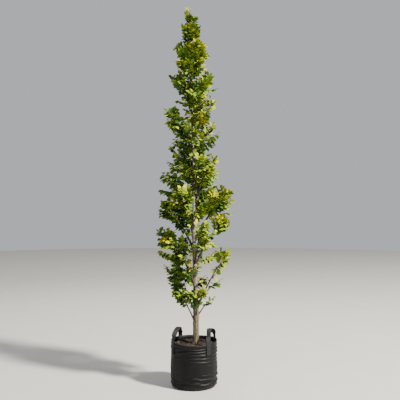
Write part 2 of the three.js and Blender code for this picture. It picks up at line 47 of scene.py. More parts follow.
# Young columnar beech in a soft planting bag. The trunk, the boughs and the bag are modelled over the
# plain solids, and each mass of foliage grows on by the same rule into finer twigs and life-size leaves.
# Everything is in metres. +Z is up and -Y is the front.

up = Vector((0, 0, 1))
nodeNames = sorted(frame["nodes"])
boughNodes = [name for name in nodeNames if name.startswith("bough_")]
foliageNodes = [name for name in nodeNames if name.startswith("foliage_")]


# Small helpers


def lerp(low, high, share):
    return low + (high - low) * share


def clamp(value, low, high):
    return max(low, min(high, value))


def smoothStep(value, low, high):
    share = clamp((value - low) / (high - low), 0, 1)
    return share * share * (3 - 2 * share)


def outwardAt(angle):
    return Vector((math.cos(angle), math.sin(angle), 0))


def angleOf(point):
    return math.atan2(point.y, point.x)


def grainAt(around, z, wide, tall):
    return noise.noise(around * wide + up * z * tall)


class Finish:
    # A material, with short ways to add its nodes
    def __init__(self, name):
        self.material = bpy.data.materials.new(name)
        self.material.use_nodes = True
        self.nodes = self.material.node_tree.nodes
        self.shader = self.nodes["Principled BSDF"]
        self.coords = self.add("TexCoord").outputs["Object"]

    def give(self, socket, value):
        if isinstance(value, bpy.types.NodeSocket):
            self.material.node_tree.links.new(value, socket)
        else:
            socket.default_value = value

    def add(self, kind, inputs=(), **settings):
        made = self.nodes.new("ShaderNode" + kind)
        for name, value in settings.items():
            setattr(made, name, value)
        for name, value in dict(inputs).items():
            self.give(made.inputs[name], value)
        return made

    def math(self, operation, first, second=0.0):
        return self.add("Math", {0: first, 1: second}, operation=operation).outputs[0]

    def times(self, first, second):
        return self.math("MULTIPLY", first, second)

    def plus(self, first, second):
        return self.math("ADD", first, second)

    def minus(self, first, second):
        return self.math("SUBTRACT", first, second)

    def waves(self, place, perMetre):
        return self.math("SINE", self.times(place, perMetre))

    def blend(self, factor, first, second):
        return self.add("Mix", {0: factor, 6: first, 7: second}, data_type="RGBA").outputs[2]

    def ramp(self, factor, *stops):
        made = self.add("ValToRGB", {"Fac": factor})
        elements = made.color_ramp.elements
        while len(elements) < len(stops):
            elements.new(1.0)
        for element, (place, shade) in zip(elements, stops):
            element.position = place
            element.color = shade if isinstance(shade, tuple) else (shade, shade, shade, 1)
        return made.outputs["Color"]

    def stretched(self, scale):
        return self.add("Mapping", {"Vector": self.coords, "Scale": scale}).outputs["Vector"]

    def noise(self, scale, detail=3.0, roughness=0.55):
        # A scale of three numbers stretches the grain
        vector, size = (self.stretched(scale), 1.0) if isinstance(scale, tuple) else (self.coords, scale)
        inputs = {"Vector": vector, "Scale": size, "Detail": detail, "Roughness": roughness}
        return self.add("TexNoise", inputs).outputs["Fac"]

    def ownMap(self, name):
        place = self.add("UVMap", uv_map=name).outputs["UV"]
        split = self.add("SeparateXYZ", {"Vector": place})
        return split.outputs["X"], split.outputs["Y"]

    def height(self):
        return self.add("SeparateXYZ", {"Vector": self.coords}).outputs["Z"]

    def done(self, colour, roughness, bump=None, specular=None):
        # The bump is its height, how deep it goes and its strength
        self.give(self.shader.inputs["Base Color"], colour)
        self.give(self.shader.inputs["Roughness"], roughness)
        if specular is not None:
            self.shader.inputs["Specular IOR Level"].default_value = specular
        if bump:
            relief = self.add("Bump", dict(zip(("Height", "Distance", "Strength"), bump)))
            self.give(self.shader.inputs["Normal"], relief.outputs["Normal"])
        return self.material


def placeObject(name, data):
    made = bpy.data.objects.new(name, data)
    bpy.context.scene.collection.objects.link(made)
    return made


def addPiece(name, mesh, finish, slot, *replaced):
    mesh.materials.clear()
    mesh.materials.append(finish)
    mesh.polygons.foreach_set("use_smooth", [True] * len(mesh.polygons))
    piece = placeObject(name, mesh)
    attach(piece, "root")
    if replaced:
        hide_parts(*replaced)
    return piece


def meshOf(name, bm):
    # The operator tells outside from inside by the normals, so they are brought up to date first
    mesh = bpy.data.meshes.new(name)
    bm.normal_update()
    bmesh.ops.recalc_face_normals(bm, faces=bm.faces)
    bm.to_mesh(mesh)
    bm.free()
    return mesh


def tallCylinder(sides, rings):
    # From -0.5 to 0.5 in height, with radius 1, cut into rings
    bm = bmesh.new()
    bmesh.ops.create_cone(bm, cap_ends=True, segments=sides, radius1=1, radius2=1, depth=1)
    tall = [edge for edge in bm.edges if abs(edge.verts[0].co.z - edge.verts[1].co.z) > 0.5]
    bmesh.ops.subdivide_edges(bm, edges=tall, cuts=rings - 1, use_grid_fill=True)
    return bm


def drawProfile(bm, points):
    # A chain of edges through points given as radius and height
    verts = [bm.verts.new((radius, 0, z)) for radius, z in points]
    return [bm.edges.new(pair) for pair in zip(verts, verts[1:])]


def spinProfile(bm, around):
    # Once round the upright axis, with its seam and its poles closed
    geometry = bm.verts[:] + bm.edges[:]
    turn = {"cent": (0, 0, 0), "axis": (0, 0, 1), "dvec": (0, 0, 0), "angle": 2 * math.pi}
    bmesh.ops.spin(bm, geom=geometry, steps=around, use_merge=True, **turn)
    bmesh.ops.remove_doubles(bm, verts=bm.verts, dist=1e-5)


cameraPlace = {
    "sideways": 0.047,
    "distance": 4.87,
    "height": 1.457,
    "lens": 55.6,  # on a sensor 36 mm wide
}


def placeCamera():
    camera = bpy.data.cameras.new("camera")
    camera.lens = cameraPlace["lens"]
    camera.sensor_width = 36
    holder = placeObject("camera", camera)
    holder.location = (cameraPlace["sideways"], -cameraPlace["distance"], cameraPlace["height"])
    holder.rotation_euler = (math.radians(90), 0, 0)
    bpy.context.scene.camera = holder


placeCamera()


# Trunk and the lines of its feathers, as the plain solids have them

trunkShape = {
    "foot": 0.3243,
    "top": 2.770,
    "footRadius": 0.025,
    "topRadius": 0.0024,
    "taper": 1.7,
    "flareRadius": 0.0035,
    "flareHeight": 0.026,
    "offset": 0.014,
    "lean": 0.044,
    "leanPower": 1.3,
    "sway": 0.0035,
    "swayTurns": (4.4, 3.2),
}


def trunkShare(z):
    return clamp((z - trunkShape["foot"]) / (trunkShape["top"] - trunkShape["foot"]), 0, 1)


def trunkAt(z):
    share = trunkShare(z)
    leant = trunkShape["offset"] - trunkShape["lean"] * share ** trunkShape["leanPower"]
    sway = [trunkShape["sway"] * math.sin(share * math.pi * turns) for turns in trunkShape["swayTurns"]]
    return Vector((leant + sway[0], sway[1], z))


def trunkRadius(z):
    taper = (1 - trunkShare(z)) ** trunkShape["taper"]
    flare = trunkShape["flareRadius"] * math.exp(-(z - trunkShape["foot"]) / trunkShape["flareHeight"])
    return trunkShape["topRadius"] + (trunkShape["footRadius"] - trunkShape["topRadius"]) * taper + flare


limbShape = {
    "outShare": 0.36,
    "upShare": 0.56,
    "collar": 0.35,
    "collarLength": 0.07,
    "lastLeaf": 0.086,  # from the end of a line to its leaf's tip in the plain solids
    "rootRadius": 0.0026,
    "radiusPerReach": 0.0125,
    "tipRadius": 0.0022,
    "samples": 9,
    "lengthSteps": 40,
    "goesOn": 0.052,  # how much further the young wood reaches, because the real leaves are shorter
    "stouter": 1.45,  # the foot of a real limb, as a share of the plain one
    "budRadius": 0.0011,
}

# Height at the trunk, height of the leaf tips, reach, and the share of it that is bare bough
rightFeathers = [
    (0.520, 0.700, 0.165, 0.42),
    (0.575, 1.092, 0.300, 0.50),
    (0.620, 0.842, 0.232, 0.55),
    (0.930, 1.345, 0.272, 0.36),
    (1.130, 1.560, 0.325, 0.36),
    (1.420, 1.826, 0.196, 0.20),
    (1.700, 2.092, 0.184, 0),
    (1.930, 2.262, 0.218, 0),
    (2.204, 2.460, 0.188, 0),
    (2.440, 2.700, 0.122, 0),
    (2.620, 2.846, 0.078, 0),
]
leftFeathers = [
    (0.470, 0.790, 0.190, 0.40),
    (0.560, 0.952, 0.262, 0.30),
    (0.800, 1.236, 0.296, 0.28),
    (1.060, 1.460, 0.282, 0.26),
    (1.300, 1.690, 0.262, 0.24),
    (1.560, 1.900, 0.196, 0),
    (1.850, 2.180, 0.226, 0),
    (2.145, 2.470, 0.176, 0),
    (2.420, 2.690, 0.118, 0),
    (2.640, 2.850, 0.056, 0),
]
depthFeathers = {
    "count": 8,
    "pitch": 0.252,
    "frontStart": 0.800,
    "backStart": 0.910,
    "widest": 0.285,
    "widestHeight": 1.300,
    "taperAbove": 0.122,
    "taperBelow": 0.18,
    "steepness": 0.9,
    "leastRise": 0.110,
    "boughBelow": 1.160,
    "bare": 0.28,
}
featherTurn = {"least": 10, "spread": 16, "golden": 0.618}
leaderShape = {"lean": 0.004, "lastLeaf": 0.076, "height": 3.0, "reach": 0.05, "goesOn": 0.045}

# Height and reach of the crown's outline
crownOutline = [
    (0.560, 0.150),
    (1.090, 0.312),
    (1.560, 0.335),
    (1.850, 0.238),
    (2.280, 0.236),
    (2.460, 0.196),
    (2.740, 0.126),
    (2.850, 0.090),
    (3.000, 0.050),
]


def linePoint(feather, t):
    # Past its end the line goes straight on
    root, bend, tip = feather["line"]
    inside = min(t, 1)
    point = root * (1 - inside) ** 2 + bend * (2 * inside * (1 - inside)) + tip * inside**2
    return point + (tip - bend) * 2 * (t - inside)


def lineTangent(feather, t):
    root, bend, tip = feather["line"]
    inside = min(t, 1)
    return ((bend - root) * (1 - inside) + (tip - bend) * inside).normalized()


def makeFeather(side, index, azimuth, rootHeight, tipHeight, spread, bare):
    golden = (index * featherTurn["golden"]) % 1
    sign = -1 if index % 2 else 1
    turn = math.radians(sign * (featherTurn["least"] + featherTurn["spread"] * golden))
    reach = spread / math.cos(turn)
    outward = outwardAt(azimuth + turn)
    root = trunkAt(rootHeight)
    leafTip = trunkAt(tipHeight) + outward * reach
    bend = root + outward * reach * limbShape["outShare"]
    bend += up * (tipHeight - rootHeight) * limbShape["upShare"]
    end = leafTip - (leafTip - bend).normalized() * limbShape["lastLeaf"]
    return {
        "name": f"{side}_{index + 1:02d}",
        "line": (root, bend, end),
        "rootRadius": limbShape["rootRadius"] + limbShape["radiusPerReach"] * reach,
        "bare": bare,
        "outward": outward,
        "reach": reach,
    }


def makeLeader():
    root = trunkAt(trunkShape["top"])
    top = Vector((root.x - leaderShape["lean"], root.y, leaderShape["height"] - leaderShape["lastLeaf"]))
    return {
        "name": "leader",
        "line": (root, root.lerp(top, 0.5), top),
        "rootRadius": limbShape["tipRadius"],
        "bare": 0,
        "outward": Vector((-1, 0, 0)),
        "reach": leaderShape["reach"],
    }


def makeDepthFeather(side, index, azimuth, start):
    rule = depthFeathers
    tipHeight = start + rule["pitch"] * index
    offWidest = tipHeight - rule["widestHeight"]
    taper = rule["taperAbove"] if offWidest > 0 else -rule["taperBelow"]
    reach = rule["widest"] - taper * offWidest
    rootHeight = tipHeight - rule["leastRise"] - rule["steepness"] * reach
    bare = rule["bare"] if rootHeight < rule["boughBelow"] else 0
    return makeFeather(side, index, azimuth, rootHeight, tipHeight, reach, bare)


def limbRadius(feather, t):
    swell = 1 + limbShape["collar"] * math.exp(-t / limbShape["collarLength"])
    return lerp(feather["rootRadius"] * limbShape["stouter"], limbShape["budRadius"], t) * swell


def makeFeathers():
    made = [makeFeather("right", i, 0, *row) for i, row in enumerate(rightFeathers)]
    made += [makeFeather("left", i, math.pi, *row) for i, row in enumerate(leftFeathers)]
    for side, azimuth in (("front", -math.pi / 2), ("back", math.pi / 2)):
        start = depthFeathers[side + "Start"]
        made += [makeDepthFeather(side, i, azimuth, start) for i in range(depthFeathers["count"])]
    made.append(makeLeader())
    steps = limbShape["lengthSteps"]
    for feather in made:
        points = [linePoint(feather, i / steps) for i in range(steps + 1)]
        feather["length"] = sum((b - a).length for a, b in zip(points, points[1:]))
        pastEnd = (leaderShape if feather["name"] == "leader" else limbShape)["goesOn"]
        feather["end"] = 1 + pastEnd / (2 * (feather["line"][2] - feather["line"][1]).length)
    return made


feathers = makeFeathers()

# Every feather's line in short pieces, so that a point's distance to all of them is one sum
samples = limbShape["samples"]
linePoints = np.array([[linePoint(feather, i / samples) for i in range(samples + 1)] for feather in feathers])
lineStarts = linePoints[:, :-1]
lineSpans = linePoints[:, 1:] - lineStarts
lineSquares = (lineSpans**2).sum(axis=2)


def distancesToLines(point):
    away = np.array(point) - lineStarts
    share = np.clip((away * lineSpans).sum(axis=2) / lineSquares, 0, 1)
    nearest = lineStarts + lineSpans * share[..., None]
    return np.sqrt(((np.array(point) - nearest) ** 2).sum(axis=2)).min(axis=1)


def outlineAt(z):
    heights, reaches = zip(*crownOutline)
    return float(np.interp(z, heights, reaches))


# Trunk: one long cylinder, cut into rings and carried onto the trunk's line, with its bark's relief

trunkBark = {
    "sides": 36,
    "rings": 240,
    "sunk": 0.010,  # below the compost's surface
    "above": 0.004,  # past the trunk's top, into the leader
    "ringPower": 1.1,  # rings lie closer towards the foot
    # Depth, as a share of the radius, and how fine it is round the trunk and along it
    "flute": (0.0352, 1.6, 2.2),
    "ridge": (0.022, 4.5, 7.0),
    "grain": (0.00035, 14, 60),  # this depth is in metres
    "rootLobes": 5,
    "lobeDepth": 0.16,
    "lobeHeight": 0.03,
    "lobeTurn": 0.7,
    # Where a feather leaves the trunk: plain size, and what the trunk's radius adds to it
    "knuckle": (0.0016, 0.07),
    "knuckleHeight": (0.011, 0.5),
    "knuckleLift": 0.6,
}


def trunkRelief(angle, z):
    rule = trunkBark
    radius = trunkRadius(max(z, trunkShape["foot"]))
    offFoot = max(0.0, z - trunkShape["foot"])
    lobes = rule["lobeDepth"] * math.exp(-offFoot / rule["lobeHeight"])
    lobes *= math.cos(rule["rootLobes"] * angle + rule["lobeTurn"])
    around = outwardAt(angle)
    flute, ridges, grain = (
        rule[name][0] * grainAt(around, z, *rule[name][1:]) for name in ("flute", "ridge", "grain")
    )
    size, height = (least + radius * more for least, more in (rule["knuckle"], rule["knuckleHeight"]))
    knuckles = 0.0
    for feather in feathers[:-1]:
        offRoot = (z - feather["line"][0].z - radius * rule["knuckleLift"]) / height
        if abs(offRoot) < 3:
            knuckles += math.exp(-offRoot * offRoot) * max(0.0, around.dot(feather["outward"])) ** 3
    return radius * (1 + lobes + flute + ridges) + grain + knuckles * size


def makeTrunk(finish):
    bm = tallCylinder(trunkBark["sides"], trunkBark["rings"])
    foot = trunkShape["foot"] - trunkBark["sunk"]
    for vert in bm.verts:
        z = lerp(foot, trunkShape["top"] + trunkBark["above"], (vert.co.z + 0.5) ** trunkBark["ringPower"])
        angle = angleOf(vert.co)
        vert.co = trunkAt(z) + outwardAt(angle) * trunkRelief(angle, z)
    addPiece("trunkBark", meshOf("trunkBark", bm), finish, "bark", "trunk")


barkColours = {
    "pale": (0.180, 0.147, 0.098, 1),
    "mid": (0.042, 0.034, 0.021, 1),
    "dark": (0.038, 0.027, 0.014, 1),
    "algae": (0.056, 0.052, 0.022, 1),
    "pore": (0.20, 0.165, 0.11, 1),
    # Painted sunlight: a paler grey for the trunk inside the crown, standing in for the sun that the leaves
    # keep off it
    "paintedSunlight": (0.34, 0.315, 0.255, 1),
    "young": (0.105, 0.052, 0.028, 1),
    "bud": (0.05, 0.022, 0.014, 1),
}


def barkFinish():
    paint = Finish("smoothGreyBark")
    streaks = paint.noise((150, 150, 9), 5.0, 0.6)
    patches = paint.noise((80, 80, 45), 5.0, 0.7)
    cracks = paint.ramp(paint.noise((420, 420, 26), 2.0), (0.36, 1.0), (0.43, 0.0))
    cells = paint.add("TexVoronoi", {"Vector": paint.stretched((75, 75, 170)), "Scale": 1.0})
    pores = paint.ramp(cells.outputs["Distance"], (0.14, 1.0), (0.24, 0.0))
    high = paint.math("DIVIDE", paint.height(), trunkShape["top"])
    # Painted sunlight: the trunk turns paler from about 0.6 m, fully from about 0.9 m to 1.7 m, and back by
    # about 2.3 m, inside the shading crown
    paintedSunlitBand = paint.ramp(high, (0.22, 0.0), (0.34, 1.0), (0.62, 1.0), (0.82, 0.0))
    covers = {
        "algae": paint.ramp(patches, (0.42, 0.85), (0.52, 0.0)),
        "dark": paint.times(cracks, 0.55),
        "pore": paint.times(pores, 0.45),
        "paintedSunlight": paint.times(paintedSunlitBand, streaks),
        "young": paint.ramp(high, (0.64, 0.0), (0.95, 0.7)),
    }
    colour = paint.ramp(streaks, (0.36, barkColours["mid"]), (0.62, barkColours["pale"]))
    for name, share in covers.items():
        colour = paint.blend(share, colour, barkColours[name])
    relief = paint.minus(paint.plus(streaks, paint.times(pores, 0.35)), paint.times(cracks, 0.4))
    roughness = paint.ramp(streaks, (0.2, 0.8), (0.8, 0.62))
    return paint.done(colour, roughness, (relief, 0.0012, 0.8), 0.25)


def shootFinish():
    # Grey-brown at the trunk and red-brown towards the young end, by how young the wood is there
    paint = Finish("redBrownShoot")
    youth = paint.add("Attribute", attribute_name="youth").outputs["Fac"]
    grain = paint.noise((260, 260, 60), 4.0)
    old = paint.ramp(grain, (0.3, barkColours["dark"]), (0.7, barkColours["mid"]))
    young = paint.ramp(grain, (0.25, barkColours["bud"]), (0.75, barkColours["young"]))
    roughness = paint.ramp(grain, (0.2, 0.65), (0.8, 0.45))
    return paint.done(paint.blend(youth, old, young), roughness, (grain, 0.0006, 0.6))


# Boughs: each feather's limb from inside the trunk to its last bud

boughBark = {
    "sides": 10,
    "rings": 34,
    "ripple": 0.06,  # share of the radius
    "rippleGrain": 30,
    "zigzag": 0.0011,
    "straight": 0.25,  # share of the limb over which the zigzag sets in
    "nodePitch": 0.030,
    "youngFrom": 0.05,
    "youngTo": 0.6,
}


def limbPoint(feather, t):
    # Young wood turns a little at each bud
    turn = math.sin(t * feather["length"] / boughBark["nodePitch"] * math.pi)
    level = lineTangent(feather, t).cross(up).normalized()
    offset = boughBark["zigzag"] * smoothStep(t, 0, boughBark["straight"]) * turn
    return linePoint(feather, t) + level * offset


def limbMesh(feather):
    rule = boughBark
    bm = tallCylinder(rule["sides"], rule["rings"])
    youth = []
    for vert in bm.verts:
        t = (vert.co.z + 0.5) * feather["end"]
        around = outwardAt(angleOf(vert.co))
        tangent = lineTangent(feather, t)
        side = Vector((1, 0, 0)).cross(tangent).normalized()
        front = side.cross(tangent)
        ripple = 1 + rule["ripple"] * grainAt(around, t, 1, rule["rippleGrain"])
        radius = limbRadius(feather, t / feather["end"]) * ripple
        vert.co = limbPoint(feather, t) + (side * around.x + front * around.y) * radius
        youth.append(smoothStep(t, rule["youngFrom"], rule["youngTo"]))
    return meshOf("limb", bm), youth


def makeBoughs(finish):
    bm = bmesh.new()
    youth = []
    for feather in feathers:
        limb, ages = limbMesh(feather)
        bm.from_mesh(limb)
        youth += ages
        bpy.data.meshes.remove(limb)
    mesh = meshOf("boughs", bm)
    mesh.attributes.new("youth", "FLOAT", "POINT").data.foreach_set("value", youth)
    addPiece("boughs", mesh, finish, "bark", *boughNodes)


makeTrunk(barkFinish())
shootWood = shootFinish()
makeBoughs(shootWood)
print("trunk and boughs made")


# Crown: side twigs in a spiral up each feather, finer twigs on those, and leaves on all of them

crownRule = {
    "seed": 7919,
    "pitch": 0.066,
    "finer": 6.5,  # twigs in each of the source's steps, before the thinning
    "firstClear": 0.034,
    "firstShare": 0.3,
    "pastBough": 0.04,
    "firstStep": 0.3,
    "firstOnStem": 0.2,
    "angle": (40, 60),
    "spiral": 137.5,
    "lift": (-0.06, 0.42),
    "lengthShare": 0.52,
    "lengthSpread": 0.15,
    "twist": 0.5,
    "longest": 0.150,
    "shortest": 0.046,
    "tipShare": 0.55,
    "leafReach": 0.052,  # the source's last leaf is longer by this, so the twig goes on by it
    "taper": 0.66,  # a spray's length at most, as a share of the way to the feather's end
    "leastSpray": 0.026,
    "tries": 7,
    "tryTurn": 0.75,
    "tryShrink": 0.07,
    "overlap": 0.050,  # how far a spray may reach in among its neighbour's
    "room": 0.5,  # of a leaf, that there has to be past a spray's end
    "rootRadius": 0.0015,
    "ofLimb": 0.6,  # a spray's radius at most, as a share of its limb's
    "tipRadius": 0.0006,
    "sag": 0.05,
    "zigzag": 0.0011,
}
# Height, then the share of the sprays that stand on the left, on the right, and in front and behind.
# What is above 1 is the share of them that stand double.
fullness = [
    (0.55, 1.00, 0.02, 1.00),
    (0.68, 1.60, 0.00, 0.60),
    (0.80, 0.50, 0.33, 0.90),
    (0.91, 0.54, 0.43, 0.33),
    (1.02, 0.82, 0.33, 0.31),
    (1.13, 1.20, 0.05, 0.34),
    (1.20, 1.20, 0.10, 0.40),
    (1.25, 0.86, 2.00, 0.60),
    (1.36, 0.50, 1.70, 1.20),
    (1.47, 1.00, 0.58, 0.84),
    (1.57, 0.20, 0.60, 0.80),
    (1.68, 0.64, 0.48, 0.80),
    (1.80, 0.05, 0.60, 0.82),
    (1.91, 0.85, 0.43, 0.82),
    (2.01, 0.63, 0.35, 0.05),
    (2.07, 0.50, 0.30, 0.10),
    (2.12, 0.25, 0.23, 1.00),
    (2.23, 0.09, 0.16, 0.50),
    (2.35, 0.52, 0.95, 1.30),
    (2.45, 0.49, 1.80, 1.20),
    (2.57, 0.50, 1.50, 1.00),
    (2.68, 1.50, 0.50, 1.00),
    (2.80, 1.60, 1.00, 1.00),
    (2.86, 1.00, 1.00, 1.00),
    (2.91, 0.20, 0.20, 0.20),
]
finerRule = {
    "leastTwig": 0.075,  # shorter twigs carry leaves alone
    "angle": 44,
    "share": 0.52,
    "least": 0.030,
    "firstNode": 1,
    "every": 2,
    "angleSpread": (0.85, 1.15),
    "lengthSpread": (0.85, 1.2),
    "lift": 0.05,
    "stouter": 1.4,  # than the last of its own twig
    "tintShare": 0.5,
}
leafRule = {
    "length": 0.047,
    "width": 0.030,
    "sizeSpread": 0.2,
    "pitch": 0.0158,
    "stemPitch": 0.019,
    "onStem": 0.35,  # share of the stem's leaves that stand where the sprays are thinned to none
    "bareTwig": 0.011,
    "sizes": (1.05, 0.85),  # from the first leaf of a twig to the last but one
    "lastSize": 0.75,
    "bestSize": 0.6,  # of the one leaf at a feather's very end
    "angle": 54,
    "angleSpread": 9,
    "droop": 0.34,
    "tilt": 0.5,
    "roll": 0.5,
    "outwards": 0.45,  # how much a blade faces away from the trunk
    "tries": 3,
    "tryShrink": 0.1,
    "tryLift": 0.2,
    "clearOfTrunk": 0.002,
    "belowTop": 0.001,
    "middle": 0.55,  # share of a leaf's length where it is tried too
}
# At the end of a feather and of the leader, how far back each leaf stands and its share of the full size
tipLeaves = {
    "places": (0.104, 0.086, 0.068, 0.052, 0.037, 0.023, 0.010),
    "sizes": (1.0, 1.0, 0.95, 0.9, 0.82, 0.74, 0.66),
    "swing": 0.75,
    "roll": 0.2,
    "tintShare": 1.1,
}
leaderLeaves = {
    "places": (0.112, 0.092, 0.070, 0.048, 0.028, 0.012),
    "sizes": (0.9, 0.7, 0.56, 0.48, 0.42, 0.36),
    "swing": 0.4,
}
leafForms = {
    "count": 6,
    "seed": 31,
    "fold": (0.12, 0.34),
    "arch": (0.05, 0.2),
    "bendSideways": 0.05,
    "wave": 0.035,
    "stalk": 0.11,
    # Rows of the blade, as shares of its length, and half its width there as a share of the full one
    "rows": (0.0, 0.11, 0.165, 0.29, 0.47, 0.67, 0.85, 1.0),
    "halves": (0.014, 0.018, 0.25, 0.44, 0.5, 0.425, 0.22, 0.01),
}

spurRule = {
    # Short leafy shoots on the trunk itself, between the feathers
    "lowest": 0.80,
    "highest": 2.87,
    "pitch": (0.042, 0.010),  # at the lowest and at the top
    "pitchSpread": (0.8, 1.2),
    "length": (0.030, 0.050),
    "longerAbove": 0.060,
    "taper": 0.42,  # a spur's length at most, as a share of the way to the crown's top
    "angle": 52,
    "radius": 0.0011,
    "sunk": 0.7,  # share of the trunk's radius where it starts
    "twist": 0.5,
    "youngTwist": 0.3,
    "tintShare": 0.2,
}
# Young shoots on the trunk: height, heading in degrees, length and tint
youngShoots = [
    (2.80, 200, 0.050, 2),
    (2.81, -20, 0.045, 3),
    (2.79, 100, 0.050, 1),
    (2.80, -90, 0.050, 2),
    (2.665, 175, 0.065, 1),
    (2.63, 190, 0.060, 0),
    (2.58, -40, 0.070, 3),
    (2.49, -30, 0.085, 2),
    (2.45, -12, 0.105, 1),
    (2.42, 10, 0.115, 2),
    (2.40, -25, 0.075, 3),
    (2.25, -60, 0.070, 2),
    (2.03, -55, 0.075, 3),
    (1.72, -50, 0.070, 2),
    (1.56, -35, 0.090, 3),
    (1.37, -30, 0.085, 3),
    (1.36, -50, 0.070, 3),
    (1.10, -125, 0.085, 3),
    (1.03, -60, 0.060, 3),
    (0.90, -115, 0.080, 3),
    (0.785, -60, 0.075, 3),
    (2.650, 205, 0.090, 0),
    (2.690, 165, 0.075, 0),
    (2.460, 5, 0.110, 1),
    (2.520, -15, 0.080, 1),
    (2.340, -95, 0.060, 1),
    (2.330, -70, 0.060, 0),
    (2.130, -100, 0.060, 0),
    (2.110, -75, 0.060, 1),
    (1.130, -65, 0.080, 0),
    (0.910, -75, 0.070, 1),
    (0.850, -110, 0.070, 0),
    (0.960, -100, 0.060, 0),
]
# Clusters of young leaves on the front: x, height, how far each spreads, and tint
youngPlaces = [
    (0.175, 2.440, 0.045, 3),
    (0.195, 2.260, 0.040, 3),
    (0.065, 2.090, 0.026, 3),
    (0.155, 2.090, 0.034, 3),
    (0.026, 2.334, 0.040, 2),
    (-0.110, 1.290, 0.040, 3),
    (-0.225, 1.175, 0.024, 3),
    (-0.100, 1.540, 0.030, 2),
    (0.130, 1.530, 0.036, 3),
    (-0.073, 0.944, 0.045, 3),
]
# Between these heights few leaves hang right in front of the trunk
trunkView = {
    "lowest": 0.76,
    "highest": 1.98,
    "margin": 0.007,
    "grain": 9.0,
    "open": -0.01,  # leaves may hang where the noise is above this
    "tried": (0.25, 0.6, 0.95),  # shares of a leaf's length
}
tintRule = {
    "spread": 0.32,
    "tip": 0.42,
    # Painted sunlight: leaves towards the sunny right and front are pushed to paler, yellower tints
    "sunny": 0.22,
    "paintedSunFront": 0.6,
    "paintedSunReach": 0.12,
    "high": 0.26,
    "highFrom": 1.2,
    "highOver": 1.8,
    "lowest": -0.3,
    "start": 0.02,
    "limits": (0.33, 0.90, 1.55),  # of the first three tints
    "younger": 0.85,  # how often the last leaf of a twig is a tint younger than the rest
    "other": 0.5,  # how often a finer twig has a tint of its own
}
tintNames = ("deep", "mid", "fresh", "gold")
spiral = math.radians(crownRule["spiral"])


def sourceDraw(seed):
    # The second of the draws that the source makes from the same seed
    state = seed
    for i in range(2):
        state = (state * 1664525 + 1013904223) & 0xFFFFFFFF
    return state / 2**32


def acrossOf(direction, roll):
    level = direction.cross(up).normalized()
    return Matrix.Rotation(roll, 3, direction) @ level


def inCrown(point, own):
    if point.z > leaderShape["height"] - leafRule["belowTop"]:
        return False
    axis = trunkAt(min(point.z, trunkShape["top"]))
    fromTrunk = math.hypot(point.x - axis.x, point.y - axis.y)
    feather = feathers[own]
    if fromTrunk > outlineAt(point.z) or (point - axis).dot(feather["outward"]) > feather["reach"]:
        return False
    if point.z < trunkShape["top"] and fromTrunk < trunkRadius(point.z) + leafRule["clearOfTrunk"]:
        return False
    distances = distancesToLines(point)
    return distances[own] < distances.min() + crownRule["overlap"]


def tintOf(point, share, draw):
    rule = tintRule
    for x, z, spread, tint in youngPlaces:
        if point.y < 0 and math.hypot(point.x - x, point.z - z) < spread:
            return tint
    # Painted sunlight: leaves right of the trunk and in front of it score higher, so they get paler, yellower
    # tints
    sunny = (point.x - trunkAt(point.z).x - rule["paintedSunFront"] * point.y) / rule["paintedSunReach"]
    high = (point.z - rule["highFrom"]) / rule["highOver"]
    score = rule["start"] + rule["tip"] * share**2 + rule["sunny"] * clamp(sunny, -1, 1)
    score += rule["high"] * clamp(high, rule["lowest"], 1) + draw.gauss(0, rule["spread"])
    return sum(score >= limit for limit in rule["limits"])


def hidesTrunk(point):
    rule = trunkView
    if not rule["lowest"] < point.z < rule["highest"]:
        return False
    axis = trunkAt(point.z)
    inFront = point.y < axis.y and abs(point.x - axis.x) < trunkRadius(point.z) + rule["margin"]
    return inFront and noise.noise(point * rule["grain"]) < rule["open"]


def fullnessAt(feather, t):
    columns = list(zip(*fullness))
    shares = columns[{"left": 1, "right": 2}.get(feather["name"].split("_")[0], 3)]
    return float(np.interp(linePoint(feather, t).z, columns[0], shares))


